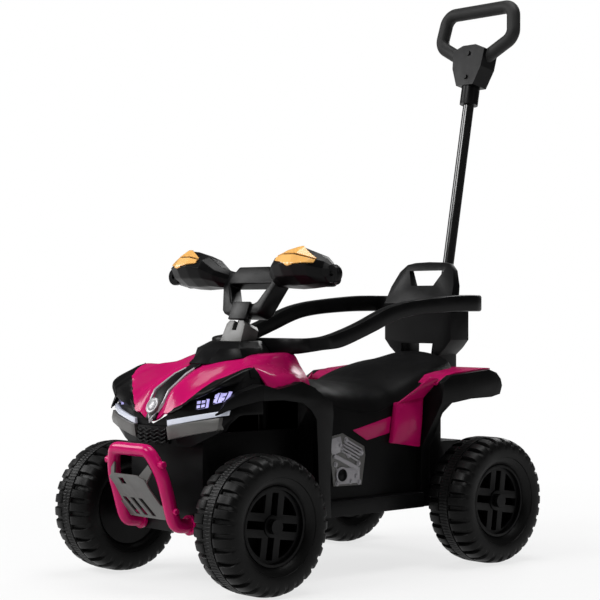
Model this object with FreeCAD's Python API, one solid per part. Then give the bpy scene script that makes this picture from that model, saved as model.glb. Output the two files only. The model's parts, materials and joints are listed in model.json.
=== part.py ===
import FreeCAD
import Part
import math
import os

# Kids quad bike, pushed along or scooted with the feet. Millimetres, +Z up, front towards -Y,
# +X to the rider's left. The ground is Z = 0.

V = FreeCAD.Vector

# Running gear
TYRE_D = 190.0
TYRE_W = 76.0
WHEELBASE = 452.0
TRACK = 320.0
WHEEL_MID_Y = -36.85
LUGS = 30
LUG_DEPTH = 7.0
LUG_GAP = 8.0
TREAD_BAND = 16.0
RIM_R = 54.0
AXLE_R = 6.0
HUB_R = 15.0
KINGPIN_R = 5.0
KNUCKLE_ARM = 45.0
PIN_R = 4.0

# Body
WALL = 3.0
TUB_HALF = 80.0
TAIL_HALF = 27.0
MID_HALF = 108.0
BOARD_HALF = 125.0
ARCH_HALF = 150.0
SADDLE_WALL = 4.0

# Steering
RAKE = 22.0
COLUMN_R = 9.0
NECK_R = 14.0
BAR_R = 8.0
GRIP_R = 11.0
LANYARD_R = 4.0

# Push handle
TUBE_R = 9.0
TUBE_TILT = 10.75
TUBE_LEN = 518.0
D_GRIP_R = 11.0

# Fits
RUN_FIT = 0.05
GAP = 0.5
SWITCH_GAP = 0.8
SWITCH_HALF = 10.0
TRIM_GAP = 0.3
SCREW_R = 2.0

AXLE_Z = TYRE_D / 2
FRONT_Y = WHEEL_MID_Y - WHEELBASE / 2
REAR_Y = WHEEL_MID_Y + WHEELBASE / 2
WHEEL_X = TRACK / 2
HUB_IN = WHEEL_X - TYRE_W / 2 + 2.0
KING_X = HUB_IN - 16.0


# The outlines below are offsets from an axle. Ahead of NOSE_END and behind TAIL_START the body keeps
# its shape, and what was drawn STRETCH long between them follows the wheelbase.
NOSE_END = 145.0
TAIL_START = -98.0
STRETCH = 209.0
STRETCH_RATIO = (WHEELBASE - NOSE_END + TAIL_START) / STRETCH


def fy(y):
    """A place along the object, from the front axle."""
    return FRONT_Y + min(y, NOSE_END) + max(y - NOSE_END, 0) * STRETCH_RATIO


def ry(y):
    """A place along the object, from the rear axle."""
    return REAR_Y + max(y, TAIL_START) + min(y - TAIL_START, 0) * STRETCH_RATIO


def hz(z):
    return AXLE_Z + z


def front(points):
    return [(fy(y), hz(z)) for y, z in points]


def rear(points):
    return [(ry(y), hz(z)) for y, z in points]


def face(points):
    return Part.Face(Part.makePolygon(points + [points[0]]))


def yz_prism(points, x0, x1):
    return face([V(x0, y, z) for y, z in points]).extrude(V(x1 - x0, 0, 0))


def xz_prism(points, y0, y1):
    return face([V(x, y0, z) for x, z in points]).extrude(V(0, y1 - y0, 0))


def xy_prism(points, z0, z1):
    return face([V(x, y, z0) for x, y in points]).extrude(V(0, 0, z1 - z0))


def box(x0, x1, y0, y1, z0, z1):
    return Part.makeBox(x1 - x0, y1 - y0, z1 - z0, V(x0, y0, z0))


def rod(x, y, z, direction, radius, length):
    return Part.makeCylinder(radius, length, V(x, y, z), direction)


def both_sides(points):
    """A closed outline from its half with x >= 0, given from the middle outwards."""
    return points + [(-x, z) for x, z in reversed(points) if x > 0]


def loft(sections):
    return Part.makeLoft([Part.makePolygon(s + [s[0]]) for s in sections], True, True)


def mirrored(shape):
    return shape.mirror(V(0, 0, 0), V(1, 0, 0))


def fuse(shapes):
    return shapes[0].multiFuse(shapes[1:]).removeSplitter()


def main_solid(shape):
    return max(shape.Solids, key=lambda s: s.Volume)


def pipe(points, radius, bend):
    """A round bar along a bent line, with arcs of the given radius at its corners."""
    edges = []
    start = points[0]
    for before, corner, after in zip(points, points[1:], points[2:]):
        a = (before - corner).normalize()
        b = (after - corner).normalize()
        half = a.getAngle(b) / 2
        back = bend / math.tan(half)
        one = corner + a * back
        two = corner + b * back
        centre = corner + (a + b).normalize() * (bend / math.sin(half))
        middle = centre + (corner - centre).normalize() * bend
        edges.append(Part.makeLine(start, one))
        edges.append(Part.Arc(one, middle, two).toShape())
        start = two
    edges.append(Part.makeLine(start, points[-1]))
    path = Part.Wire(edges)
    ring = Part.Wire([Part.makeCircle(radius, points[0], points[1] - points[0])])
    return path.makePipeShell([ring], True, False)


# Steering frame: x across, y backwards across the column, z up along the column
STEER_POINT = V(0, fy(107), hz(270))


def steered(shape):
    shape = shape.copy()
    shape.rotate(V(0, 0, 0), V(1, 0, 0), -RAKE)
    shape.translate(STEER_POINT)
    return shape


# Body forms, shared by the pieces that meet on them
HOOD_STATIONS = [
    (-62, [(0, 135), (28, 145), (52, 156), (80, 168), (84, 167), (86, 160), (88, 140)]),
    (-42, [(0, 172), (28, 177), (62, 176), (100, 184), (114, 186), (117, 180), (119, 160)]),
    (-9, [(0, 195), (28, 198), (65, 192), (100, 199), (117, 201), (121, 195), (124, 170)]),
    (20, [(0, 208), (30, 210), (70, 203), (102, 208), (119, 209), (125, 201), (131, 172)]),
    (56, [(0, 218), (42, 221), (76, 217), (97, 209), (116, 202), (129, 194), (139, 172)]),
    (96, [(0, 223), (55, 226), (83, 225), (98, 211), (115, 201), (129, 193), (139, 172)]),
    (131, [(0, 223), (55, 226), (80, 225), (95, 208), (110, 191), (117, 176), (122, 161)]),
]
HOOD_BASE = 110
HOOD_LOW = [(38, 180), (70, 185), (84, 189), (108, 180), (131, 163)]
BROW = [(0, 130), (30, 143), (45, 154), (80, 169), (115, 187), (121, 204), (122, 240)]

FASCIA_LEVELS = [
    (101, [(0, -55), (45, -53), (78, -47), (104, -38), (118, -24), (124, 20)]),
    (133, [(0, -61), (45, -58), (90, -48), (120, -35), (130, -18), (134, 24)]),
    (150, [(0, -61), (45, -59), (88, -46), (120, -31), (130, -14), (134, 24)]),
    (170, [(0, -55), (45, -55), (82, -46), (112, -30), (127, -9), (133, 26)]),
    (190, [(0, -38), (45, -43), (80, -37), (108, -21), (122, -2), (129, 28)]),
    (214, [(0, -10), (45, -14), (80, -12), (104, -3), (118, 14), (124, 32)]),
]
FASCIA_BACK = 34

SADDLE_STATIONS = [
    ("f", 128, 190, 163, 106),
    ("f", 181, 190, 151, 108),
    ("f", 209, 186, 143, 109),
    ("r", -188, 182, 137, 109),
    ("r", -154, 184, 146, 109),
    ("r", -133, 188, 151, 108),
    ("r", -93, 201, 171, 106),
    ("r", -48, 210, 190, 98),
    ("r", -20, 214, 194, 92),
    ("r", 9, 222, 196, 84),
]
SADDLE_ARC = [(0, 1), (0.3, 0.95), (0.55, 0.82), (0.75, 0.64), (0.9, 0.40), (1, 0)]
DECK_TOP = [(-86, 178), (-66, 189), (-44, 193), (20, 198), (34, 198)]
DECK_HALF = 140.0


def hood_form(inset):
    """The solid under the hood skin. The inset moves every face inwards."""
    sections = []
    for i, (y, half) in enumerate(HOOD_STATIONS):
        widest = half[-1][0]
        shrink = (widest - inset) / widest
        points = [(x * shrink, z - inset) for x, z in half]
        points.append((points[-1][0], HOOD_BASE - (10 if inset else 0)))
        shift = inset if i == 0 else -inset if i == len(HOOD_STATIONS) - 1 else 0
        outline = both_sides(points)
        sections.append([V(x, fy(y + shift), hz(z)) for x, z in outline])
    return loft(sections)


def below_brow():
    """The space in front of and below the hood edge, where the headlight panel lies."""
    half = BROW + [(190, 240), (190, 20)]
    outline = both_sides(half)
    zone = xz_prism([(x, hz(z)) for x, z in outline if not (x == 0 and z == 20)], fy(-90), fy(50))
    notch = [(-90, 20), (-90, 245), (12, 245), (18, 214), (38, 180), (38, 20)]
    return zone.common(yz_prism(front(notch), -200, 200))


def fascia_form(inset):
    sections = []
    for i, (z, half) in enumerate(FASCIA_LEVELS):
        shift = -8 if i == 0 else 8 if i == len(FASCIA_LEVELS) - 1 else 0
        shift = shift if inset else 0
        widest = half[-1][0]
        shrink = (widest - inset) / widest
        points = [(x * shrink, y + inset) for x, y in half]
        back = FASCIA_BACK + (5 if inset else 0)
        points.append((points[-1][0], back))
        outline = both_sides(points)
        sections.append([V(x, fy(y), hz(z + shift)) for x, y in outline])
    return loft(sections)


def saddle_line():
    """Stations along the saddle: y, crown height, side edge height, half width."""
    result = []
    for axle, y, top, edge, half in SADDLE_STATIONS:
        result.append((fy(y) if axle == "f" else ry(y), hz(top), hz(edge), half))
    return result


def saddle_form(inset, floor):
    sections = []
    line = saddle_line()
    for i, (y, top, edge, half) in enumerate(line):
        w = half - inset
        t = top - inset
        rise = t - edge
        points = [(w * part, edge + rise * height) for part, height in SADDLE_ARC]
        points.append((w, edge - floor))
        shift = inset if i == 0 else -inset if i == len(line) - 1 else 0
        sections.append([V(x, y + shift, z) for x, z in both_sides(points)])
    return loft(sections)


def deck_block(drop):
    """Everything under the rear deck's top face, or under its lower face with a drop."""
    top = [(y, z - drop) for y, z in DECK_TOP]
    return top + [(DECK_TOP[-1][0], 60), (DECK_TOP[0][0], 60)]


HOOD_OUT = hood_form(0)
HOOD_IN = hood_form(WALL)
BROW_ZONE = below_brow()
FASCIA_OUT = fascia_form(0)
FASCIA_IN = fascia_form(WALL)
SADDLE_OUT = saddle_form(0, 0)
SADDLE_IN = saddle_form(SADDLE_WALL, 12)
DECK_ZONE = yz_prism(rear(deck_block(0)), -DECK_HALF, DECK_HALF)


def below_hood():
    """The space under the hood's side edges."""
    return yz_prism(front(HOOD_LOW + [(134, 161), (134, 60), (38, 60)]), -200, 200)


def hood_cowl():
    skin = HOOD_OUT.cut(HOOD_IN)
    horn_hole = rod(HORN_X, fy(HORN_Y), hz(200), V(0, 0, 1), HORN_R + GAP, 60)
    skin = skin.cut([BROW_ZONE, below_hood(), column_bore(COLUMN_R + 6), horn_hole])
    return main_solid(skin)


def nose_strip():
    line = [(y, half[0][1]) for y, half in HOOD_STATIONS[:4]]
    raised = [(y - 2.5, z + 3.5) for y, z in line]
    strip = yz_prism(front(line + raised[::-1]), -11, 11)
    strip = strip.cut([HOOD_OUT, BROW_ZONE])
    return main_solid(strip)


def badge_axis():
    y0, half0 = HOOD_STATIONS[0]
    y1, half1 = HOOD_STATIONS[1]
    rise = half1[0][1] - half0[0][1]
    run = y1 - y0
    normal = V(0, -rise, run).normalize()
    point = V(0, fy(y0 + run * 0.45), hz(half0[0][1] + rise * 0.45))
    return point, normal


def nose_badge(strip):
    point, normal = badge_axis()
    disc = Part.makeCylinder(12, 12, point - normal * 3, normal)
    return main_solid(disc.cut([HOOD_OUT, strip]))


def front_fascia():
    skin = FASCIA_OUT.cut(FASCIA_IN).common(BROW_ZONE)
    low = [(0, 40), (0, 101), (70, 101), (118, 124), (128, 146), (190, 146), (190, 40)]
    low_zone = xz_prism([(x, hz(z)) for x, z in low], fy(-90), fy(60))
    skin = skin.cut([low_zone, mirrored(low_zone), box(-200, 200, fy(26), fy(60), 0, hz(300))])
    return main_solid(skin)


def on_fascia(x0, x1, z0, z1, z2, z3, proud):
    """A bar that stands proud of the headlight panel between two heights at each end."""
    bar = xz_prism([(x0, hz(z0)), (x1, hz(z1)), (x1, hz(z3)), (x0, hz(z2))], fy(-80), fy(10))
    outer = FASCIA_OUT.copy()
    outer.translate(V(0, -proud, 0))
    return main_solid(bar.common(outer).cut(FASCIA_OUT))


def headlight_lenses():
    lens = [on_fascia(84, 98, 153, 156, 166, 168, 5)]
    lens.append(on_fascia(106, 119, 161, 165, 175, 178, 6))
    return Part.makeCompound(lens + [mirrored(s) for s in lens])


def light_strips():
    strip = on_fascia(36, 124, 129, 146, 137, 153, 5)
    return Part.makeCompound([strip, mirrored(strip)])


def chin_trim():
    bar = on_fascia(36, 120, 110, 127, 128.5, 143.5, 7)
    return Part.makeCompound([bar, mirrored(bar)])


def nose_grille():
    panel = xz_prism([(-33, hz(104)), (33, hz(104)), (33, hz(128)), (-33, hz(128))], fy(-80), fy(-20))
    outer = FASCIA_OUT.copy()
    outer.translate(V(0, -4, 0))
    seat = FASCIA_OUT.copy()
    seat.translate(V(0, -TRIM_GAP, 0))
    panel = panel.common(outer).cut([FASCIA_OUT, seat])
    grooves = [box(-29, 29, fy(-80), fy(-63), hz(z), hz(z + 3)) for z in (108, 114, 120)]
    return main_solid(panel.cut(grooves))


def front_arch():
    upper = [(-44, 148), (-30, 166), (-12, 178), (14, 187)] + HOOD_LOW + [(142, 158)]
    outer_leg = [(146, 100), (154, 36), (163, -7)]
    inner_leg = [(138, -7), (132, 36), (121, 93), (112, 135), (100, 150)]
    lower = [(84, 160), (48, 165), (9, 165), (-17, 158), (-44, 146)]
    solid = yz_prism(front(upper + outer_leg + inner_leg + lower), MID_HALF, ARCH_HALF)
    cavity = [(y, z - WALL) for y, z in upper[:-1]] + [(142 - WALL, 155)]
    cavity += [(y - WALL, z) for y, z in outer_leg[:-1]] + [(163 - WALL, -20)]
    cavity += [(y - 20, z) for y, z in inner_leg] + [(y, z - 15) for y, z in lower]
    hollow = yz_prism(front(cavity), MID_HALF - 5, ARCH_HALF - WALL)
    slope = [(BOARD_HALF, hz(-30)), (BOARD_HALF, hz(-7)), (ARCH_HALF, hz(140)), (ARCH_HALF + 30, hz(140)),
             (ARCH_HALF + 30, hz(-30))]
    away = xz_prism(slope, fy(60), fy(180))
    inside = away.copy()
    inside.translate(V(-WALL, 0, 0))
    taper = [(118, -70), (118, -46), (ARCH_HALF, 14), (ARCH_HALF + 30, 14), (ARCH_HALF + 30, -70)]
    nose = xy_prism([(x, fy(y)) for x, y in taper], 0, hz(300))
    nose_in = nose.copy()
    nose_in.translate(V(-WALL, 0, 0))
    arch = solid.cut([away, nose]).cut(hollow.cut([inside, nose_in]))
    return main_solid(arch.cut([FASCIA_OUT, HOOD_OUT.cut(below_hood())]))


def rear_arch():
    upper = [(-87, 153), (-82, 180), (-66, 189), (20, 196), (36, 191), (46, 181), (49, 171), (44, 158)]
    lower = [(24, 154), (-22, 153), (-64, 148), (-77, 133), (-78, 82), (-80, -7)]
    solid = yz_prism(rear(upper + lower + [(-98, -7), (-96, 82)]), MID_HALF, ARCH_HALF + 2)
    cavity = [(-84, 153), (-79, 178), (-65, 186), (19, 193), (34, 188), (43, 180), (46, 171), (44, 140)]
    cavity += [(24, 120), (-50, 120), (-60, 82), (-60, -20), (-95, -20), (-93, 82)]
    hollow = yz_prism(rear(cavity), MID_HALF - 5, ARCH_HALF + 2 - WALL)
    leg = WHEEL_X - TYRE_W / 2 - 3
    slope = [(leg, hz(-30)), (leg, hz(82)), (ARCH_HALF + 2, hz(150)), (ARCH_HALF + 30, hz(150)),
             (ARCH_HALF + 30, hz(-30))]
    away = xz_prism(slope, ry(-120), ry(-60))
    inside = away.copy()
    inside.translate(V(-WALL, 0, 0))
    return solid.cut(away).cut(hollow.cut(inside))


def rear_cowl():
    panel = [(-146, 150), (-156, 91), (-96, 82), (-87, 153), (-84, 178), (-93, 171), (-133, 151)]
    side = yz_prism(rear(panel), MID_HALF, MID_HALF + 6)
    under = [(y, z - WALL) for y, z in DECK_TOP]
    deck = yz_prism(rear(DECK_TOP + under[::-1]), -DECK_HALF, DECK_HALF)
    bead_top = DECK_TOP[1:]
    bead_low = [(y, z - 9) for y, z in bead_top]
    bead = yz_prism(rear(bead_top + bead_low[::-1]), DECK_HALF - 5, DECK_HALF)
    cowl = fuse([deck, side, mirrored(side), bead, mirrored(bead)])
    return main_solid(cowl)


def side_stripes():
    outline = [(-231, 113), (-202, 97), (-155.5, 105.5), (-151.5, 130)]
    stripe = yz_prism(rear(outline), MID_HALF, MID_HALF + 1.5)
    return Part.makeCompound([stripe, mirrored(stripe)])


def saddle():
    skin = SADDLE_OUT.cut([SADDLE_IN, HOOD_OUT, DECK_ZONE])
    return main_solid(skin)


def seat_front(z):
    return ry(19 + (z - 300) * 0.44)


def seat_rear(z):
    return ry(42 + (z - 314) * 0.26)


def sheet(outline, extra):
    """A slab between the front and rear planes of the seat back."""
    first = [V(x, seat_front(z) - extra, hz(z)) for x, z in outline]
    second = [V(x, seat_rear(z) + extra, hz(z)) for x, z in outline]
    return loft([first, second])


def seat_back(socket):
    upper = sheet(both_sides([(0, 364), (30, 363), (46, 360), (58, 349), (68, 325), (72, 298)]), 0)
    half = [(0, 300), (72, 300), (72, 240), (60, 227), (46, 216), (46, 190), (0, 190)]
    outline = [(x, hz(z)) for x, z in half + [(-x, z) for x, z in half[-2:0:-1]]]
    front_slab = xz_prism(outline, ry(19), ry(38))
    rear_slab = xz_prism([(x, min(z, hz(286))) for x, z in outline], ry(38), ry(61))
    body = fuse([upper, front_slab, rear_slab])
    grip_hole = sheet([(-38, 350), (38, 350), (24, 326), (-24, 326)], 20)
    gap_low = box(-35, 35, ry(0), ry(90), hz(216), hz(234))
    pocket = box(-62, 62, ry(24), ry(90), hz(242), hz(280))
    tube_space = pushed(Part.makeCylinder(TUBE_R, TUBE_LEN))
    return main_solid(body.cut([grip_hole, gap_low, pocket, SADDLE_OUT, DECK_ZONE, socket, tube_space]))


RING_TOP = [(120, 247), (144, 248), (176, 253), (226, 268), (278, 288), (313, 297)]
RING_TOP_REAR = [(-96, 303), (-6, 310), (66, 310)]
RING_LOW = [(120, 222), (154, 230), (193, 234), (241, 249), (261, 256)]
RING_LOW_REAR = [(-129, 276), (-37, 284), (66, 285)]
RING_HALF = 118.0
RING_THICK = 17.0


def upright_edges(block, at_front):
    """The two upright edges at the front or the rear of a block."""
    middle = block.BoundBox.Center.y
    edges = []
    for edge in block.Edges:
        size = edge.BoundBox
        upright = size.XLength < 0.01 and size.YLength < 0.01
        if upright and (edge.CenterOfMass.y < middle) == at_front:
            edges.append(edge)
    if at_front:
        return edges
    rear_y = max(e.CenterOfMass.y for e in edges)
    return [e for e in edges if e.CenterOfMass.y > rear_y - 0.01]


def ring_plan(inset, radius_front, radius_rear):
    x = RING_HALF - inset
    block = box(-x, x, fy(122) + inset, ry(62) - inset, hz(180), hz(340))
    block = block.makeFillet(radius_front, upright_edges(block, True))
    return block.makeFillet(radius_rear, upright_edges(block, False))


def guard_ring(back):
    profile = front(RING_TOP) + rear(RING_TOP_REAR) + rear(RING_LOW_REAR[::-1]) + front(RING_LOW[::-1])
    ring = ring_plan(0, 40, 34).cut(ring_plan(RING_THICK, 26, 20))
    ring = ring.common(yz_prism(profile, -200, 200))
    return main_solid(ring.cut([HOOD_OUT, back]))


TUB_LOW = -20
TUB_FRONT = fy(-36)
MID_LOW = -7
BATTERY_Y = ry(-160)
DOOR_GAP = 0.2


def mid_profile(low, lift):
    """Side wall of the tub's middle: its top edge follows the saddle's lower edge."""
    points = [(fy(142), hz(low)), (fy(142), hz(163) + lift)]
    for y, top, edge, half in saddle_line()[1:7]:
        points.append((y, edge + lift))
    return points + [(ry(-86), hz(178) + lift), (ry(-86), hz(low))]


def lower_body():
    front_box = box(-TUB_HALF, TUB_HALF, TUB_FRONT, fy(145), hz(TUB_LOW), hz(119))
    middle = yz_prism(mid_profile(MID_LOW, 0), -MID_HALF, MID_HALF)
    deck_low = [(y, z - WALL) for y, z in DECK_TOP]
    rear_box = yz_prism(rear([(-86, -14), (-12, -14), (-12, 192)] + deck_low[2::-1]), -TUB_HALF, TUB_HALF)
    axle_box = box(-TUB_HALF, TUB_HALF, ry(-14), ry(34), hz(-14), hz(84))
    tail = yz_prism(rear([(-14, 60), (34, 60)] + deck_low[:1:-1]), -TAIL_HALF, TAIL_HALF)
    rear_box = fuse([rear_box, axle_box, tail])
    deck_zone = yz_prism(rear(deck_low + [(34, 300), (-86, 300)]), -200, 200)
    rear_box = rear_box.cut(deck_zone)
    inner = [box(-TUB_HALF + WALL, TUB_HALF - WALL, TUB_FRONT + WALL, fy(160), hz(TUB_LOW) + WALL, hz(300))]
    inner.append(yz_prism([(fy(142) + WALL, hz(MID_LOW) + WALL), (fy(142) + WALL, hz(320)),
                           (ry(-86) - WALL, hz(320)), (ry(-86) - WALL, hz(MID_LOW) + WALL)],
                          -MID_HALF + WALL, MID_HALF - WALL))
    side = TUB_HALF - WALL
    tail_side = TAIL_HALF - WALL
    inner.append(box(-side, side, ry(-100), ry(-12) - WALL, hz(MID_LOW) + WALL, hz(320)))
    inner.append(box(-side, side, ry(-20), ry(34) - WALL, hz(-14) + WALL, hz(84) - WALL))
    inner.append(box(-tail_side, tail_side, ry(-20), ry(34) - WALL, hz(40), hz(320)))
    boards = []
    board = box(MID_HALF, BOARD_HALF, fy(163), ry(-98), hz(MID_LOW), hz(15))
    board = board.cut(box(MID_HALF, BOARD_HALF - 4, fy(163) + 4, ry(-98) - 4, hz(MID_LOW) - 5, hz(15) - 5))
    boards.append(board)
    boards.append(mirrored(board))
    sleeve = rod(TUB_HALF - WALL, REAR_Y, AXLE_Z, V(1, 0, 0), HUB_R - 2, HUB_IN - GAP - TUB_HALF + WALL)
    tub = fuse([front_box, middle, rear_box])
    tub = tub.cut(inner)
    posts = []
    for x in (-50, 50):
        for y in (0, 100):
            post = rod(x, fy(y), hz(TUB_LOW) + 1, V(0, 0, 1), 7, 400)
            posts.append(post.common(HOOD_IN))
            posts.append(post.common(box(-100, 100, fy(-50), fy(150), 0, hz(HOOD_BASE + 1))))
    tub = fuse([tub] + boards + [sleeve, mirrored(sleeve)] + posts)
    holes = [rod(-TRACK, REAR_Y, AXLE_Z, V(1, 0, 0), AXLE_R, 2 * TRACK)]
    holes.append(box(-TRACK, TRACK, fy(-11), fy(11), hz(TUB_LOW) + WALL, hz(17)))
    holes.append(box(-TRACK, TRACK, fy(KNUCKLE_ARM - 13), fy(KNUCKLE_ARM + 8), hz(-4), hz(6)))
    holes.append(box(-36, 36, BATTERY_Y - 30, BATTERY_Y + 30, hz(MID_LOW) - 5, hz(MID_LOW) + 10))
    across = SWITCH_HALF + SWITCH_GAP
    holes.append(box(-across, across, ry(20), ry(50), hz(118) - SWITCH_GAP, hz(130) + SWITCH_GAP))
    holes.append(column_bore(COLUMN_R + 6))
    return main_solid(tub.cut(holes + [SADDLE_OUT]))


def column_bore(radius):
    return steered(Part.makeCylinder(radius, 420, V(0, 0, -300)))


def axle_carrier():
    beam = box(-KING_X - 11, KING_X + 11, fy(-11), fy(11), hz(TUB_LOW) + WALL, hz(17))
    tower = box(-20, 20, fy(-30), fy(-11), hz(TUB_LOW) + WALL, hz(60))
    plate = box(-20, 20, fy(-30), fy(42), hz(48), hz(60))
    carrier = fuse([beam, tower, plate])
    cuts = [column_bore(COLUMN_R + RUN_FIT).common(box(-60, 60, fy(-80), fy(80), hz(40), hz(90)))]
    for side in (-1, 1):
        x = side * KING_X
        cuts.append(box(x - 14, x + 14, fy(-12), fy(12), hz(-9), hz(11)))
        cuts.append(rod(x, FRONT_Y, 0, V(0, 0, 1), KINGPIN_R, 400))
        for y in (-1, 1):
            cuts.append(box(min(side * 8, side * (KING_X - 20)), max(side * 8, side * (KING_X - 20)),
                            fy(min(y * 4, y * 12)), fy(max(y * 4, y * 12)), hz(-9), hz(11)))
    return main_solid(carrier.cut(cuts))


def kingpins():
    pins = []
    for side in (-1, 1):
        shank = rod(side * KING_X, FRONT_Y, hz(TUB_LOW) + WALL, V(0, 0, 1), KINGPIN_R, 17 - TUB_LOW - WALL)
        head = rod(side * KING_X, FRONT_Y, hz(17), V(0, 0, 1), 8, 5)
        pins.append(shank.fuse(head))
    return Part.makeCompound(pins)


def knuckle():
    barrel = rod(KING_X, FRONT_Y, hz(-9 + 0.3), V(0, 0, 1), 11, 20 - 0.6)
    boss = rod(KING_X, FRONT_Y, AXLE_Z, V(1, 0, 0), 9, HUB_IN - GAP - KING_X)
    stub = rod(KING_X, FRONT_Y, AXLE_Z, V(1, 0, 0), AXLE_R, WHEEL_X + 26 - KING_X)
    arm = box(KING_X - 7, KING_X + 7, FRONT_Y, fy(KNUCKLE_ARM), hz(-8.7), hz(-3))
    eye = rod(KING_X, fy(KNUCKLE_ARM), hz(-8.7), V(0, 0, 1), 7, 5.7)
    pin = rod(KING_X, fy(KNUCKLE_ARM), hz(-4), V(0, 0, 1), PIN_R, 10)
    whole = fuse([barrel, boss, stub, arm, eye, pin])
    return whole.cut(rod(KING_X, FRONT_Y, 0, V(0, 0, 1), KINGPIN_R + RUN_FIT, 400))


def tie_rod():
    z0 = hz(-2.6)
    bar = box(-KING_X, KING_X, fy(KNUCKLE_ARM - 6), fy(KNUCKLE_ARM + 6), z0, z0 + 6)
    shapes = [bar]
    holes = []
    for side in (-1, 1):
        shapes.append(rod(side * KING_X, fy(KNUCKLE_ARM), z0, V(0, 0, 1), 8, 6))
        holes.append(rod(side * KING_X, fy(KNUCKLE_ARM), z0 - 5, V(0, 0, 1), PIN_R + RUN_FIT, 20))
    shapes.append(box(-16, 16, fy(KNUCKLE_ARM - 11), fy(KNUCKLE_ARM + 11), z0, z0 + 6))
    slot = box(-PIN_R - GAP, PIN_R + GAP, fy(KNUCKLE_ARM - 8), fy(KNUCKLE_ARM + 8), z0 - 5, z0 + 15)
    return fuse(shapes).cut(holes + [slot])


def crank_length():
    """Distance from the column's axis to the tie rod's slot, square to the column."""
    slant = math.radians(RAKE)
    level = hz(0.4)
    axis_y = STEER_POINT.y - (STEER_POINT.z - level) * math.tan(slant)
    return (fy(KNUCKLE_ARM) - axis_y) * math.cos(slant)


def steering_column():
    low = -(STEER_POINT.z - hz(31)) / math.cos(math.radians(RAKE))
    arm = crank_length()
    shaft = Part.makeCylinder(COLUMN_R, 20 - low, V(0, 0, low))
    plate = Part.makeBox(16, arm, 8, V(-8, 0, low))
    eye = Part.makeCylinder(8, 8, V(0, arm, low))
    hub = Part.makeCylinder(14, 8, V(0, 0, low))
    pin = Part.makeCylinder(PIN_R, 22, V(0, arm, low - 14))
    return steered(fuse([shaft, plate, eye, hub, pin]))


BAR_LOCAL = V(0, 3, 67)
YOKE_TOP = 77.0


def handlebar_yoke():
    outline = [(-24, 8), (24, 8), (60, 58), (62, YOKE_TOP), (-62, YOKE_TOP), (-60, 58)]
    frame = xz_prism(outline, -11, 14)
    window = xz_prism([(-22, 25), (22, 25), (47, 56), (-47, 56)], -40, 60)
    plate = box(-19, 19, -16, -11, -1.5, 25)
    yoke = fuse([frame.cut(window), plate])
    yoke = yoke.cut([Part.makeCylinder(COLUMN_R, 40, V(0, 0, -20)),
                     Part.makeCylinder(BAR_R, 400, V(-200, BAR_LOCAL.y, BAR_LOCAL.z), V(1, 0, 0))])
    return steered(main_solid(yoke))


HORN_R = 8.0
HORN_X = -67.0
HORN_Y = 112.0


def horn_button():
    y = fy(HORN_Y)
    cap = rod(HORN_X, y, hz(216), V(0, 0, 1), HORN_R, 13)
    flange = rod(HORN_X, y, hz(216), V(0, 0, 1), HORN_R + 2.5, 2.5)
    return cap.fuse(flange)


def bar_centre():
    slant = math.radians(RAKE)
    y = STEER_POINT.y + BAR_LOCAL.y * math.cos(slant) + BAR_LOCAL.z * math.sin(slant)
    z = STEER_POINT.z - BAR_LOCAL.y * math.sin(slant) + BAR_LOCAL.z * math.cos(slant)
    return y, z


BAR_END = 166.0


def handlebar_tube():
    y, z = bar_centre()
    return rod(-BAR_END, y, z, V(1, 0, 0), BAR_R, 2 * BAR_END)


GRIP_START = 68.0


def grips():
    y, z = bar_centre()
    across = V(1, 0, 0)
    grip = rod(GRIP_START, y, z, across, GRIP_R, BAR_END - GRIP_START - 8)
    for i in range(6):
        x = GRIP_START + 14 + i * 12
        grip = grip.cut(rod(x, y, z, across, GRIP_R + 1, 3).cut(rod(x, y, z, across, GRIP_R - 1, 3)))
    grip = grip.cut(rod(0, y, z, across, BAR_R, 300))
    return Part.makeCompound([grip, mirrored(grip)])


GUARD_STATIONS = [
    (60, [(-96, 444), (-112, 448), (-122, 438), (-116, 424), (-98, 421)]),
    (82, [(-96, 457), (-120, 462), (-133, 447), (-124, 421), (-100, 417)]),
    (118, [(-96, 467), (-120, 474), (-138, 448), (-128, 422), (-100, 417)]),
    (150, [(-84, 458), (-112, 464), (-130, 446), (-122, 420), (-86, 416)]),
    (170, [(-72, 448), (-98, 452), (-114, 440), (-108, 419), (-74, 414)]),
    (187, [(-84, 441), (-94, 442), (-102, 433), (-99, 424), (-86, 421)]),
]


def guard_loft(push, shrink):
    sections = []
    for x, outline in GUARD_STATIONS:
        cy = sum(p[0] for p in outline) / len(outline)
        cz = sum(p[1] for p in outline) / len(outline)
        sections.append([V(x, fy(218 + cy + (y - cy) * shrink + push), hz(cz + (z - cz) * shrink - 95))
                         for y, z in outline])
    return loft(sections)


def hand_guard(yoke):
    y, z = bar_centre()
    solid = guard_loft(0, 1.0)
    hollow = guard_loft(9, 0.86).cut(box(155, 250, fy(-400), fy(400), 0, 900))
    finger = box(66, 158, fy(116), fy(200), hz(300), hz(400))
    lanyard = rod(177, fy(40), hz(336), V(0, 1, 0), LANYARD_R, 200)
    guard = solid.cut([hollow, finger, yoke, rod(0, y, z, V(1, 0, 0), BAR_R, BAR_END),
                       rod(0, y, z, V(1, 0, 0), GRIP_R + GAP, BAR_END - 6), lanyard])
    return main_solid(guard)


def guard_pads(guard):
    pads = []
    for low, high in ((461, 480), (446, 459.5)):
        grown = guard_loft(-3, 1.03)
        zone = box(88, 152, fy(50), fy(116), hz(low - 95), hz(high - 95))
        pad = grown.cut([guard_loft(0, 1.0)]).common(zone)
        pads.append(main_solid(pad))
    return Part.makeCompound(pads + [mirrored(s) for s in pads])


DASH_LEVELS = [
    (212, [(20, 20), (58, 58), (66, 98), (62, 118)]),
    (233, [(18, 46), (47, 58), (45, 100), (38, 118)]),
    (243, [(16, 64), (31, 70), (31, 106), (27, 118)]),
]


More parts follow.
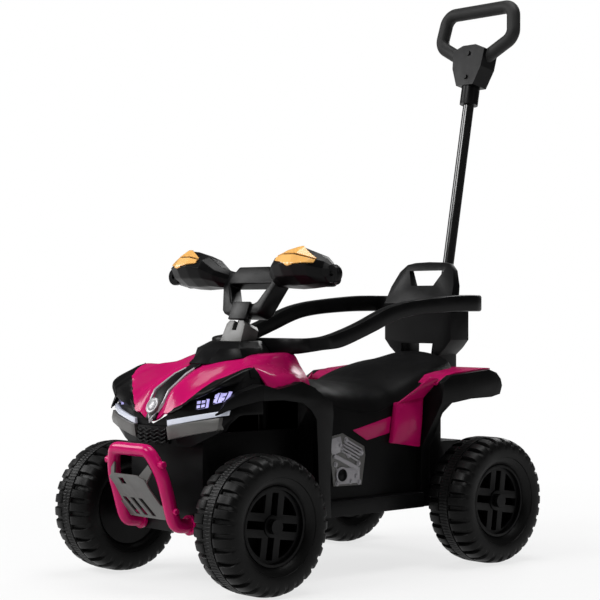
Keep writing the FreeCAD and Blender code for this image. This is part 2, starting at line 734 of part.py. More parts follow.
def dash_form(inset):
    drops = (-6, 0, -inset) if inset else (0, 0, 0)
    sections = []
    for (z, half), drop in zip(DASH_LEVELS, drops):
        points = [(x - inset, y + inset) for x, y in half[:3]]
        points.append((half[3][0] - inset, half[3][1] - inset))
        outline = points + [(-x, y) for x, y in reversed(points)]
        sections.append([V(x, fy(y), hz(z + drop)) for x, y in outline])
    return loft(sections)


def dash_cover():
    return main_solid(dash_form(0).cut([dash_form(WALL), HOOD_OUT, column_bore(COLUMN_R + 2)]))


def steering_bezel(dash):
    outline = [(-24, -46), (24, -46), (20, -8), (15, -3), (-15, -3), (-20, -8)]
    block = xz_prism(outline, -NECK_R, NECK_R)
    notch = box(-5, 5, -40, 0, -18, 20)
    block = block.cut([notch, Part.makeCylinder(COLUMN_R + RUN_FIT, 200, V(0, 0, -100))])
    level = box(-60, 60, fy(0), fy(160), hz(150), hz(243))
    return main_solid(steered(block).cut([dash, level]))


def engine_plates():
    outline = [(162, 104), (199, 110), (243, 89), (245, 76), (237, 33), (181, 34), (174, 80)]
    plate = yz_prism(front(outline), MID_HALF, MID_HALF + 4)
    for z in (62, 69, 76, 83):
        plate = plate.cut(box(MID_HALF + 2, MID_HALF + 10, fy(206), fy(236), hz(z), hz(z + 3.5)))
    disc = rod(MID_HALF + 4, fy(196), hz(50), V(1, 0, 0), 10, 2)
    plate = plate.fuse(disc)
    return Part.makeCompound([plate, mirrored(plate)])


BUMPER_R = 9.0
BUMPER_TOP = 97.0
BUMPER_SHOULDER = 58.0
BUMPER_LOW = -7.0
BUMPER_LEAN = 0.318
BUMPER_HALF = 55.0
PEG_R = 7.0
PLATE_LEAN = 0.72
PLATE_THICK = 2.5


def bumper_y(z):
    return fy(-65.7 - BUMPER_LEAN * z)


def bumper_tube():
    half = [V(BUMPER_HALF, TUB_FRONT + 5, hz(BUMPER_LOW)),
            V(BUMPER_HALF, bumper_y(BUMPER_LOW), hz(BUMPER_LOW)),
            V(BUMPER_HALF, bumper_y(BUMPER_SHOULDER), hz(BUMPER_SHOULDER)),
            V(BUMPER_HALF - 18, bumper_y(BUMPER_TOP), hz(BUMPER_TOP))]
    line = half + [V(-p.x, p.y, p.z) for p in reversed(half)]
    pegs = []
    for z, inner, length in ((79, BUMPER_HALF - 10, 32), (15, BUMPER_HALF, 18)):
        peg = rod(inner, bumper_y(z), hz(z), V(1, 0, 0), PEG_R, length)
        pegs += [peg, mirrored(peg)]
    tube = fuse([pipe(line, BUMPER_R, 18)] + pegs)
    return main_solid(tube.cut([box(-TUB_HALF, TUB_HALF, TUB_FRONT, fy(100), 0, hz(200)), FASCIA_OUT]))


def plate_point(x, z, back):
    """A point on the bumper plate's front face, or behind it."""
    return V(x, fy(-63.5 - PLATE_LEAN * z) + back, hz(z))


def bumper_plate(tube):
    half = [(0, 64), (27, 64), (40, 58), (38, 46), (42, 22), (58, 21), (58, 6), (47, 0)]
    depths = (0, PLATE_THICK)
    sheet_faces = [[plate_point(x, z, back) for x, z in both_sides(half)] for back in depths]
    root = [plate_point(26, 60, 0), plate_point(40, 54, 0)]
    tip = [V(44, fy(-93), hz(87)), V(51, fy(-93), hz(82))]
    through = V(0, PLATE_THICK, 0)
    horn = loft([[a, b, b + through, a + through] for a, b in (root, tip)])
    shapes = [loft(sheet_faces), horn, mirrored(horn)]
    holes = [box(-19, -8, fy(-140), fy(-60), hz(49), hz(58))]
    for x in (-37, -19, -1):
        slot = [(x, hz(29)), (x + 9, hz(29)), (x + 18, hz(4)), (x + 9, hz(4))]
        holes.append(xz_prism(slot, fy(-140), fy(-50)))
    return main_solid(fuse(shapes).cut(holes + [tube]))


# Push handle frame: z along the tube from the foot of the tube
PUSH_FOOT = V(0, ry(56), hz(170))
HUB_T = TUBE_LEN
HUB_DEPTH = 17.0


def pushed(shape):
    shape = shape.copy()
    shape.rotate(V(0, 0, 0), V(1, 0, 0), -TUBE_TILT)
    shape.translate(PUSH_FOOT)
    return shape


def push_socket():
    block = box(-22, 22, ry(34), ry(74), hz(150), hz(210))
    return block.cut(pushed(Part.makeCylinder(TUBE_R, 200)))


def push_tube():
    bore = Part.makeCylinder(TUBE_R - 2, TUBE_LEN - 4, V(0, 0, 2))
    return pushed(Part.makeCylinder(TUBE_R, TUBE_LEN).cut(bore))


def push_hub():
    half = [(18, HUB_T - 26), (31, HUB_T + 4), (34, HUB_T + 34), (14, HUB_T + 42)]
    body = xz_prism(half + [(-x, t) for x, t in reversed(half)], -HUB_DEPTH, HUB_DEPTH)
    collar = Part.makeCylinder(15, 34, V(0, 0, HUB_T - 56))
    hub = fuse([body, collar])
    return hub.cut([Part.makeCylinder(TUBE_R, TUBE_LEN)])


def push_grip_line():
    half = [V(20, 0, HUB_T + 20), V(79, 0, HUB_T + 52), V(71, 0, HUB_T + 105)]
    return half + [V(-p.x, 0, p.z) for p in reversed(half)]


def push_grip(hub):
    return main_solid(pushed(pipe(push_grip_line(), D_GRIP_R, 20)).cut(hub))


def battery_box():
    outer = box(-40, 40, BATTERY_Y - 34, BATTERY_Y + 34, hz(MID_LOW) + WALL, hz(26))
    inner = box(-36, 36, BATTERY_Y - 30, BATTERY_Y + 30, hz(MID_LOW) - 5, hz(22))
    return outer.cut(inner)


def battery_cells():
    cells = []
    for i in (-1, 0, 1):
        cells.append(rod(-26, BATTERY_Y + i * 18, hz(MID_LOW) + WALL + 7, V(1, 0, 0), 7, 50))
    return Part.makeCompound(cells)


def battery_door():
    wide = 36 - DOOR_GAP
    long = 30 - DOOR_GAP
    return box(-wide, wide, BATTERY_Y - long, BATTERY_Y + long, hz(MID_LOW), hz(MID_LOW) + WALL)


def light_switch():
    key = yz_prism(rear([(29, 118), (36, 118), (38, 124), (36, 130), (29, 130)]), -SWITCH_HALF, SWITCH_HALF)
    return key


def rear_axle():
    return rod(-WHEEL_X - 26, REAR_Y, AXLE_Z, V(1, 0, 0), AXLE_R, 2 * WHEEL_X + 52)


def axle_nut(y):
    nut = rod(WHEEL_X + 24 + GAP, y, AXLE_Z, V(1, 0, 0), 10, 8)
    return nut.cut(rod(WHEEL_X, y, AXLE_Z, V(1, 0, 0), AXLE_R, 26))


def ring_profile(points):
    """A ring about the X axis from a closed outline of (radius, x)."""
    outline = face([V(x, 0, r) for r, x in points])
    return outline.revolve(V(0, 0, 0), V(1, 0, 0), 360)


def tyre():
    r = TYRE_D / 2
    w = TYRE_W / 2
    half = [(r, 8), (r - 1, 20), (r - 4, w - 6), (r - 11, w - 0.5), (r - 23, w)]
    half += [(RIM_R + 6, w - 4), (RIM_R, w - 12), (RIM_R, w - 15), (RIM_R + 8, w - 7)]
    half += [(r - 23, w - 3), (r - 14, w - 5), (r - 11, w - 12), (r - 10, 8)]
    ring = ring_profile(half + [(q, -x) for q, x in reversed(half)])
    grooves = []
    for i in range(LUGS):
        for side in (-1, 1):
            tool = Part.makeBox(w, LUG_GAP, 30, V(TREAD_BAND / 2 if side > 0 else -TREAD_BAND / 2 - w,
                                                  -LUG_GAP / 2, r - LUG_DEPTH))
            tool.rotate(V(0, 0, 0), V(1, 0, 0), (i + (0.25 if side > 0 else -0.25)) * 360.0 / LUGS)
            grooves.append(tool)
    return main_solid(ring.cut(grooves))


SPOKE_W = 11.0
SPOKE_FACE = 22.0


def rim():
    w = TYRE_W / 2
    inside = RIM_R - 4
    barrel = ring_profile([(RIM_R, -w + 10), (RIM_R, w - 10), (inside, w - 10), (inside, -w + 10)])
    lip = ring_profile([(inside, 12), (inside, SPOKE_FACE), (inside - 5, SPOKE_FACE), (inside - 5, 12)])
    web = rod(-w + 10, 0, 0, V(1, 0, 0), inside, WALL)
    hub = rod(-w + 2, 0, 0, V(1, 0, 0), HUB_R, w + SPOKE_FACE)
    shapes = [barrel, lip, web, hub]
    for i in range(4):
        for side in (-1, 1):
            spoke = Part.makeBox(10, SPOKE_W, inside - 8, V(SPOKE_FACE - 10, (side - 0.5) * SPOKE_W, 9))
            spoke.rotate(V(0, 0, 0), V(1, 0, 0), i * 90.0 - 8)
            shapes.append(spoke)
    whole = fuse(shapes)
    return main_solid(whole.cut(rod(-TYRE_W, 0, 0, V(1, 0, 0), AXLE_R + RUN_FIT, 2 * TYRE_W)))


def placed(shape, x, y):
    shape = shape.copy() if x > 0 else mirrored(shape)
    shape.translate(V(x, y, AXLE_Z))
    return shape


def screw_seats():
    """Screws: the point under the head and the direction out of the surface."""
    seats = []
    slant = math.radians(TUBE_TILT)
    out = V(0, -math.cos(slant), math.sin(slant))
    up = V(0, math.sin(slant), math.cos(slant))
    for t in (HUB_T - 12, HUB_T + 28):
        seats.append((PUSH_FOOT + up * t + out * HUB_DEPTH, out))
    return seats


def screw(point, direction):
    head = Part.makeCylinder(SCREW_R * 2, 2.4, point, direction)
    return head.fuse(screw_hole(point, direction))


def screw_hole(point, direction):
    return Part.makeCylinder(SCREW_R, 7.0, point, direction * -1)


def build():
    parts = {}
    parts["hood_cowl"] = hood_cowl()
    parts["nose_strip"] = nose_strip()
    parts["nose_badge"] = nose_badge(parts["nose_strip"])
    parts["front_fascia"] = front_fascia()
    parts["headlight_lenses"] = headlight_lenses()
    parts["light_strips"] = light_strips()
    parts["chin_trim"] = chin_trim()
    parts["nose_grille"] = nose_grille()
    parts["front_arch_left"] = front_arch()
    parts["front_arch_right"] = mirrored(parts["front_arch_left"])
    parts["rear_cowl"] = rear_cowl()
    parts["side_stripes"] = side_stripes()
    above = yz_prism(rear([(y, z - WALL) for y, z in DECK_TOP] + [(34, 260), (-86, 260)]), 0, DECK_HALF)
    arch = main_solid(rear_arch().cut([parts["rear_cowl"], above]))
    parts["rear_arch_left"] = arch
    parts["rear_arch_right"] = mirrored(arch)
    parts["saddle"] = main_solid(saddle().cut(parts["rear_cowl"]))
    parts["push_socket"] = push_socket()
    parts["seat_back"] = seat_back(parts["push_socket"])
    parts["guard_ring"] = guard_ring(parts["seat_back"])
    parts["lower_body"] = lower_body()
    parts["dash_cover"] = dash_cover()
    parts["steering_bezel"] = steering_bezel(parts["dash_cover"])
    parts["engine_plates"] = engine_plates()
    parts["bumper_tube"] = bumper_tube()
    parts["bumper_plate"] = bumper_plate(parts["bumper_tube"])
    parts["axle_carrier"] = axle_carrier()
    parts["kingpins"] = kingpins()
    parts["rear_axle"] = rear_axle()
    nut = axle_nut(REAR_Y)
    parts["rear_axle_nuts"] = Part.makeCompound([nut, mirrored(nut)])
    parts["push_tube"] = push_tube()
    hub = pushed(push_hub())
    parts["push_hub"] = hub
    parts["push_grip"] = push_grip(hub)
    parts["battery_box"] = battery_box()
    parts["battery_cells"] = battery_cells()
    parts["battery_door"] = battery_door()
    parts["light_switch"] = light_switch()
    parts["steering_column"] = steering_column()
    parts["handlebar_yoke"] = handlebar_yoke()
    parts["horn_button"] = horn_button()
    parts["handlebar_tube"] = handlebar_tube()
    parts["grips"] = grips()
    parts["hand_guard_left"] = hand_guard(parts["handlebar_yoke"])
    parts["hand_guard_right"] = mirrored(parts["hand_guard_left"])
    parts["guard_pads"] = guard_pads(parts["hand_guard_left"])
    parts["knuckle_left"] = knuckle()
    parts["knuckle_right"] = mirrored(parts["knuckle_left"])
    nut = axle_nut(FRONT_Y)
    parts["front_nut_left"] = nut
    parts["front_nut_right"] = mirrored(nut)
    parts["tie_rod"] = tie_rod()
    one_tyre = tyre()
    one_rim = rim()
    for end, y in (("front", FRONT_Y), ("rear", REAR_Y)):
        for side, x in (("left", WHEEL_X), ("right", -WHEEL_X)):
            parts[end + "_" + side + "_tyre"] = placed(one_tyre, x, y)
            parts[end + "_" + side + "_rim"] = placed(one_rim, x, y)
    seats = screw_seats()
    holes = [screw_hole(point, direction) for point, direction in seats]
    parts["push_hub"] = main_solid(hub.cut(holes))
    parts["hub_screws"] = Part.makeCompound([screw(point, direction) for point, direction in seats])
    return parts


os.makedirs("parts", exist_ok=True)
for name, shape in build().items():
    shape.exportStep("parts/" + name + ".step")
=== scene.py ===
import json
import math

import bmesh
import bpy
from mathutils import Matrix, Vector
from mathutils.bvhtree import BVHTree

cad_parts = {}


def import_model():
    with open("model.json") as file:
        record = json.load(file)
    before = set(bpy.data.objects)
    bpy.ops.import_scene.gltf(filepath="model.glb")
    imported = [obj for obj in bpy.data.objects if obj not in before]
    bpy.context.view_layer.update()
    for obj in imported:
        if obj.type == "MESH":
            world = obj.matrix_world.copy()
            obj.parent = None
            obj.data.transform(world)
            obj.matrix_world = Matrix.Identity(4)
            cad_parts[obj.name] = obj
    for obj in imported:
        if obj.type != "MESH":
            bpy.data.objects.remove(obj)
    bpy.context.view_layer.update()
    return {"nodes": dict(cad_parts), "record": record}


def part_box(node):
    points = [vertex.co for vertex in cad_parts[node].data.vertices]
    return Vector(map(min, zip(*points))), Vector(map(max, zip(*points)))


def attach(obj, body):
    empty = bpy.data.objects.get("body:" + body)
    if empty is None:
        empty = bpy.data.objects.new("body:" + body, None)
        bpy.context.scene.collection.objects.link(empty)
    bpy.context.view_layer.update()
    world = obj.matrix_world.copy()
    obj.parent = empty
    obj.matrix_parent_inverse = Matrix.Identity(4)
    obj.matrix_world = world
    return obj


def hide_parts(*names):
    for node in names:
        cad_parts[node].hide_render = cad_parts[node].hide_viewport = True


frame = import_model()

NODES = frame["nodes"]
MM = 0.001


def middle(node):
    low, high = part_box(node)
    return (low + high) / 2


FRONT = middle("front_left_tyre")
REAR = middle("rear_left_tyre")
AXLE_Z = FRONT.z / MM
FRONT_Y = FRONT.y / MM
REAR_Y = REAR.y / MM


def fp(x, y, z):
    """A point in millimetres from the front axle, in metres in the frame."""
    return Vector((x, FRONT_Y + y, AXLE_Z + z)) * MM


def rp(x, y, z):
    """A point in millimetres from the rear axle, in metres in the frame."""
    return Vector((x, REAR_Y + y, AXLE_Z + z)) * MM


# Materials

NOISE_SPAN = (0.3, 0.7)  # where most values of a noise texture lie
WORN_EDGE = (0.53, 0.62)  # pointiness where a corner's wear begins and is full
GRAIN_HEIGHT = 0.0004
COAT_ROUGHNESS = 0.06


class Shader:
    """A material under construction: short calls for its nodes and links."""

    def __init__(self, name):
        self.material = bpy.data.materials.new(name)
        self.material.use_nodes = True
        self.tree = self.material.node_tree
        self.bsdf = self.tree.nodes["Principled BSDF"]
        coords = self.tree.nodes.new("ShaderNodeTexCoord")
        self.object_space = coords.outputs["Object"]

    def node(self, kind, **settings):
        made = self.tree.nodes.new("ShaderNode" + kind)
        for key, value in settings.items():
            if key in made.inputs:
                made.inputs[key].default_value = value
            else:
                setattr(made, key, value)
        return made

    def link(self, source, target):
        self.tree.links.new(source, target)

    def noise(self, scale, detail=3.0, stretch=None):
        made = self.node("TexNoise", Scale=scale, Detail=detail)
        source = self.object_space
        if stretch:
            mapping = self.node("Mapping", Scale=stretch)
            self.link(source, mapping.inputs["Vector"])
            source = mapping.outputs["Vector"]
        self.link(source, made.inputs["Vector"])
        return made.outputs["Fac"]

    def spread(self, fac, low, high, span=NOISE_SPAN):
        """The value carried from its span to the range between low and high."""
        made = self.node("MapRange")
        made.inputs["From Min"].default_value = span[0]
        made.inputs["From Max"].default_value = span[1]
        made.inputs["To Min"].default_value = low
        made.inputs["To Max"].default_value = high
        self.link(fac, made.inputs["Value"])
        return made.outputs["Result"]

    def mix(self, fac, one, two):
        made = self.node("Mix", data_type="RGBA")
        self.link(fac, made.inputs["Factor"])
        for socket, value in ((made.inputs[6], one), (made.inputs[7], two)):
            if isinstance(value, tuple):
                socket.default_value = (*value, 1.0)
            else:
                self.link(value, socket)
        return made.outputs[2]

    def bump(self, height, strength, distance):
        made = self.node("Bump", Strength=strength, Distance=distance)
        self.link(height, made.inputs["Height"])
        self.link(made.outputs["Normal"], self.bsdf.inputs["Normal"])


def tone(colour, factor):
    return tuple(min(1.0, c * factor) for c in colour)


def moulded(name, colour, rough, grain, depth, coat=0.0, wear=1.6, shine=0.5):
    """Moulded plastic: fine surface grain, uneven sheen, and corners rubbed a little paler."""
    s = Shader(name)
    s.bsdf.inputs["Specular IOR Level"].default_value = shine
    broad = s.spread(s.noise(9.0, 4.0), 0.0, 1.0)
    body = s.mix(broad, tone(colour, 0.86), tone(colour, 1.08))
    point = s.node("NewGeometry").outputs["Pointiness"]
    scuff = s.node("Math", operation="MULTIPLY")
    s.link(s.spread(point, 0.0, 1.0, WORN_EDGE), scuff.inputs[0])
    s.link(s.noise(160.0), scuff.inputs[1])
    s.link(s.mix(scuff.outputs["Value"], body, tone(colour, wear)), s.bsdf.inputs["Base Color"])
    s.link(s.spread(s.noise(38.0, 5.0), rough - 0.05, rough + 0.07), s.bsdf.inputs["Roughness"])
    s.bump(s.noise(grain, 2.0), depth, GRAIN_HEIGHT)
    if coat:
        s.bsdf.inputs["Coat Weight"].default_value = coat
        s.bsdf.inputs["Coat Roughness"].default_value = COAT_ROUGHNESS
    return s.material


def metal(name, colour, rough, stretch=(1.0, 1.0, 1.0)):
    """Bare or plated metal with fine drawn lines and patchy sheen."""
    s = Shader(name)
    lines = s.noise(420.0, 4.0, stretch)
    s.link(s.mix(s.noise(30.0), tone(colour, 0.8), colour), s.bsdf.inputs["Base Color"])
    s.link(s.spread(lines, rough - 0.08, rough + 0.12), s.bsdf.inputs["Roughness"])
    s.bsdf.inputs["Metallic"].default_value = 1.0
    s.bump(lines, 0.06, 0.0002)
    return s.material


def glowing(name, colour, glow, strength):
    """A lit lamp window: clear gloss over a diffused light with a slight cell pattern."""
    s = Shader(name)
    cells = s.node("TexVoronoi", Scale=260.0)
    s.link(s.object_space, cells.inputs["Vector"])
    shade = s.mix(cells.outputs["Distance"], glow, tone(glow, 0.7))
    s.link(shade, s.bsdf.inputs["Emission Color"])
    s.bsdf.inputs["Emission Strength"].default_value = strength
    s.link(s.mix(s.noise(120.0), colour, tone(colour, 0.9)), s.bsdf.inputs["Base Color"])
    s.bsdf.inputs["Roughness"].default_value = 0.18
    s.bsdf.inputs["Coat Weight"].default_value = 0.6
    return s.material


MAT = {
    "magenta_body": moulded("magenta gloss plastic", (0.46, 0.0035, 0.102), 0.22,
                            grain=700.0, depth=0.03, coat=0.10, wear=1.1, shine=0.12),
    "black_body": moulded("black satin plastic", (0.0028, 0.0028, 0.0030), 0.34,
                          grain=1300.0, depth=0.10, wear=2.2, shine=0.10),
    "saddle": moulded("saddle plastic", (0.0034, 0.0034, 0.0036), 0.46,
                      grain=620.0, depth=0.30, wear=2.0, shine=0.06),
    "grey_trim": moulded("grey satin plastic", (0.092, 0.090, 0.086), 0.40, grain=1200.0, depth=0.10, wear=1.25),
    "silver_plate": moulded("silver painted plastic", (0.30, 0.29, 0.31), 0.30,
                            grain=900.0, depth=0.10, coat=0.2, wear=1.25),
    "amber": moulded("amber gloss plastic", (0.83, 0.44, 0.115), 0.30,
                     grain=900.0, depth=0.05, coat=0.3, wear=1.15, shine=0.35),
    "lamp": glowing("lit lamp window", (0.60, 0.60, 0.85), (0.52, 0.48, 1.0), 0.9),
    "light_strip": glowing("light strip", (0.62, 0.65, 0.74), (0.8, 0.85, 1.0), 0.12),
    "tube_paint": moulded("black gloss paint", (0.004, 0.004, 0.004), 0.16,
                          grain=300.0, depth=0.02, coat=0.3, wear=1.5, shine=0.4),
    "grip_rubber": moulded("black rubber", (0.005, 0.005, 0.005), 0.60, grain=1500.0, depth=0.25, shine=0.3),
    "steel": metal("zinc-plated steel", (0.62, 0.62, 0.63), 0.32, (1.0, 6.0, 6.0)),
    "cell_case": metal("cell case", (0.35, 0.37, 0.42), 0.4),
    "tyre": moulded("tyre plastic", (0.0034, 0.0034, 0.0034), 0.42, grain=900.0, depth=0.18, wear=2.0, shine=0.12),
    "rim": moulded("rim plastic", (0.0030, 0.0030, 0.0032), 0.34, grain=1200.0, depth=0.08, wear=2.0, shine=0.10),
}


def dress(piece, slot):
    piece.data.materials.clear()
    piece.data.materials.append(MAT[slot])
    for face in piece.data.polygons:
        face.material_index = 0


# Rounded edges and smooth shading

SHARP_ANGLE = 32  # degrees, as are the other angles here
BEVEL_STEPS = 3
SOLID_BEVEL_ANGLE = 28
FLAT_ANGLE = 0.6
WELD_GAP = 0.00002


def smooth_group():
    """A node group that shades smooth all but the sharp edges."""
    group = bpy.data.node_groups.new("smooth by angle", "GeometryNodeTree")
    group.interface.new_socket("Geometry", in_out="INPUT", socket_type="NodeSocketGeometry")
    group.interface.new_socket("Geometry", in_out="OUTPUT", socket_type="NodeSocketGeometry")
    start = group.nodes.new("NodeGroupInput")
    end = group.nodes.new("NodeGroupOutput")
    faces = group.nodes.new("GeometryNodeSetShadeSmooth")
    edges = group.nodes.new("GeometryNodeSetShadeSmooth")
    edges.domain = "EDGE"
    angle = group.nodes.new("GeometryNodeInputMeshEdgeAngle")
    flat = group.nodes.new("FunctionNodeCompare")
    flat.operation = "LESS_THAN"
    flat.inputs["B"].default_value = math.radians(SHARP_ANGLE)
    links = group.links
    links.new(start.outputs[0], faces.inputs["Geometry"])
    links.new(faces.outputs[0], edges.inputs["Geometry"])
    links.new(angle.outputs["Unsigned Angle"], flat.inputs["A"])
    links.new(flat.outputs["Result"], edges.inputs["Shade Smooth"])
    links.new(edges.outputs[0], end.inputs[0])
    return group


SMOOTH = smooth_group()


def smooth(piece):
    piece.modifiers.new("shading", "NODES").node_group = SMOOTH


def edge_round(piece, width, angle=35):
    bevel = piece.modifiers.new("rounded edges", "BEVEL")
    bevel.width = width * MM
    bevel.segments = BEVEL_STEPS
    bevel.limit_method = "ANGLE"
    bevel.angle_limit = math.radians(angle)
    bevel.use_clamp_overlap = True
    smooth(piece)


def soften(piece, width):
    """Rounded edges for a solid of the frame, after its facets are joined into plain faces."""
    weld = piece.modifiers.new("weld", "WELD")
    weld.merge_threshold = WELD_GAP
    plain = piece.modifiers.new("plain faces", "DECIMATE")
    plain.decimate_type = "DISSOLVE"
    plain.angle_limit = math.radians(FLAT_ANGLE)
    edge_round(piece, width, SOLID_BEVEL_ANGLE)


ROUND_BARS = ("push_tube", "push_grip", "bumper_tube", "handlebar_tube", "steering_column", "rear_axle", "kingpins",
              "knuckle_left", "knuckle_right", "battery_cells", "hub_screws", "rear_axle_nuts", "front_nut_left",
              "front_nut_right", "horn_button", "push_hub")
PLAIN_EDGE = 0.8
WIDE_EDGES = {"front_arch_left": 3, "front_arch_right": 3, "rear_arch_left": 3, "rear_arch_right": 3, "seat_back": 4,
              "bumper_plate": 1.5, "rear_cowl": 1.5, "dash_cover": 1.5}


def dress_frame():
    for part in frame["record"]["subparts"]:
        dress(NODES[part["node"]], part["material_slot"])
    for name, piece in NODES.items():
        if name in ROUND_BARS:
            smooth(piece)
        else:
            soften(piece, WIDE_EDGES.get(name, PLAIN_EDGE))


dress_frame()

# Lines and meshes


def ease(value):
    """A smooth step from 0 to 1 while the value goes from 0 to 1."""
    share = min(1.0, max(0.0, value))
    return share * share * (3 - 2 * share)


def curve_through(points, count):
    """Places along a smooth curve through the points, count steps in all."""
    last = len(points) - 1
    places = []
    for i in range(count + 1):
        t = i / count * last
        k = min(int(t), last - 1)
        f = t - k
        b, c = Vector(points[k]), Vector(points[k + 1])
        a = Vector(points[k - 1]) if k else b * 2 - c
        d = Vector(points[k + 2]) if k + 2 <= last else c * 2 - b
        places.append(0.5 * (2 * b + (c - a) * f + (2 * a - 5 * b + 4 * c - d) * f * f
                             + (3 * b - a - 3 * c + d) * f * f * f))
    return places


def straight_through(points, count):
    """Places along the straight runs between the points, count steps in all."""
    last = len(points) - 1
    places = []
    for i in range(count + 1):
        k = min(i * last // count, last - 1)
        places.append(Vector(points[k]).lerp(Vector(points[k + 1]), i / count * last - k))
    return places


def lattice(rows, across, along, line=curve_through):
    """A fine grid through a coarse one: rows of points, the same number in each."""
    fine = [line(row, across) for row in rows]
    columns = [line([row[i] for row in fine], along) for i in range(across + 1)]
    return [[column[j] for column in columns] for j in range(along + 1)]


def circle(radius, sides):
    turns = [i * 2 * math.pi / sides for i in range(sides)]
    return [(radius * math.cos(a), radius * math.sin(a)) for a in turns]


def whole(half):
    """A full section from its half with x >= 0, given from the middle outwards."""
    return [(-x, z) for x, z in reversed(half) if x > 0] + list(half)


def both_ways(half):
    """A full line from its half with x >= 0, given from the outside to the middle."""
    return half + [Vector((-p.x, p.y, p.z)) for p in reversed(half[:-1])]


def add_piece(name, mesh, slot, body):
    piece = bpy.data.objects.new(name, mesh)
    bpy.context.scene.collection.objects.link(piece)
    piece.data.materials.append(MAT[slot])
    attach(piece, body)
    return piece


def mesh_from(name, verts, faces):
    mesh = bpy.data.meshes.new(name)
    mesh.from_pydata([tuple(v) for v in verts], [], faces)
    work = bmesh.new()
    work.from_mesh(mesh)
    bmesh.ops.remove_doubles(work, verts=work.verts, dist=WELD_GAP)
    bmesh.ops.recalc_face_normals(work, faces=work.faces)
    work.to_mesh(mesh)
    work.free()
    mesh.shade_smooth()
    return mesh


def grid_mesh(name, grid, round_trip=False):
    """A sheet over rows of points; on a round trip each row's end is joined to its start."""
    wide = len(grid[0])
    verts = [p for row in grid for p in row]
    faces = []
    for j in range(len(grid) - 1):
        for i in range(wide - (0 if round_trip else 1)):
            n = (i + 1) % wide
            faces.append((j * wide + i, j * wide + n, (j + 1) * wide + n, (j + 1) * wide + i))
    return mesh_from(name, verts, faces)


def prism_mesh(name, outline, step):
    """A closed block: an outline of points and the same outline moved by the step."""
    count = len(outline)
    verts = [Vector(p) for p in outline] + [Vector(p) + Vector(step) for p in outline]
    faces = [tuple(range(count)), tuple(range(2 * count - 1, count - 1, -1))]
    for i in range(count):
        n = (i + 1) % count
        faces.append((i, n, count + n, count + i))
    return mesh_from(name, verts, faces)


def across_block(outline, x0, x1, place=fp):
    """A block across the object: an outline of (y, z), from one x to another."""
    return prism_mesh("block", [place(x0, y, z) for y, z in outline], ((x1 - x0) * MM, 0, 0))


def along_block(outline, y0, y1):
    """A block along the object: an outline of (x, z), from one y to another."""
    return prism_mesh("block", [fp(x, y0, z) for x, z in outline], (0, (y1 - y0) * MM, 0))


def sweep(name, points, section, growth=lambda share: 1.0):
    """A closed bar along a line: section points are (sideways, upwards) of the line's run."""
    rows = []
    for i, point in enumerate(points):
        before = points[max(i - 1, 0)]
        after = points[min(i + 1, len(points) - 1)]
        run = (after - before).normalized()
        side = run.cross(Vector((0, 0, 1)))
        side = side.normalized() if side.length > 0.01 else Vector((1, 0, 0))
        up = side.cross(run)
        size = growth(i / (len(points) - 1)) * MM
        rows.append([point + (side * a + up * b) * size for a, b in section])
    count = len(section)
    verts = [p for row in rows for p in row]
    faces = [tuple(range(count)), tuple(range(len(verts) - 1, len(verts) - count - 1, -1))]
    for j in range(len(rows) - 1):
        for i in range(count):
            n = (i + 1) % count
            faces.append((j * count + i, j * count + n, (j + 1) * count + n, (j + 1) * count + i))
    return mesh_from(name, verts, faces)


def joined(name, meshes):
    """One mesh from several."""
    work = bmesh.new()
    for mesh in meshes:
        work.from_mesh(mesh)
        bpy.data.meshes.remove(mesh)
    mesh = bpy.data.meshes.new(name)
    work.to_mesh(mesh)
    work.free()
    mesh.shade_smooth()
    return mesh


def same_side(mesh):
    return mesh


def other_side(mesh):
    """The mesh mirrored across the middle plane."""
    work = bmesh.new()
    work.from_mesh(mesh)
    bmesh.ops.scale(work, vec=(-1, 1, 1), verts=work.verts)
    bmesh.ops.reverse_faces(work, faces=work.faces)
    copy = bpy.data.meshes.new(mesh.name)
    work.to_mesh(copy)
    work.free()
    copy.shade_smooth()
    return copy


BOTH_SIDES = (("right", other_side), ("left", same_side))


def apply_modifiers(piece):
    """Turns the piece's modifiers into its mesh."""
    shape = piece.evaluated_get(bpy.context.evaluated_depsgraph_get())
    mesh = bpy.data.meshes.new_from_object(shape)
    piece.modifiers.clear()
    piece.data = mesh


def carve(piece, cutter_mesh):
    cutter = bpy.data.objects.new("cutter", cutter_mesh)
    bpy.context.scene.collection.objects.link(cutter)
    step = piece.modifiers.new("carve", "BOOLEAN")
    step.operation = "DIFFERENCE"
    step.object = cutter
    step.solver = "EXACT"
    step.use_self = True
    apply_modifiers(piece)
    bpy.data.objects.remove(cutter)


def thicken(piece, wall):
    made = piece.modifiers.new("wall", "SOLIDIFY")
    made.thickness = wall * MM
    made.offset = -1.0
    apply_modifiers(piece)


def surface_of(node):
    """A tree for finding places on a node's surface."""
    mesh = NODES[node].data
    return BVHTree.FromPolygons([v.co for v in mesh.vertices], [tuple(f.vertices) for f in mesh.polygons])


def seen_from_front(tree, x, z, proud):
    """The first place on a surface along a line from the front, moved forwards to stand proud."""
    hit = tree.ray_cast(fp(x, -400, z), Vector((0, 1, 0)))[0]
    return hit + Vector((0, -proud * MM, 0))


# Hood

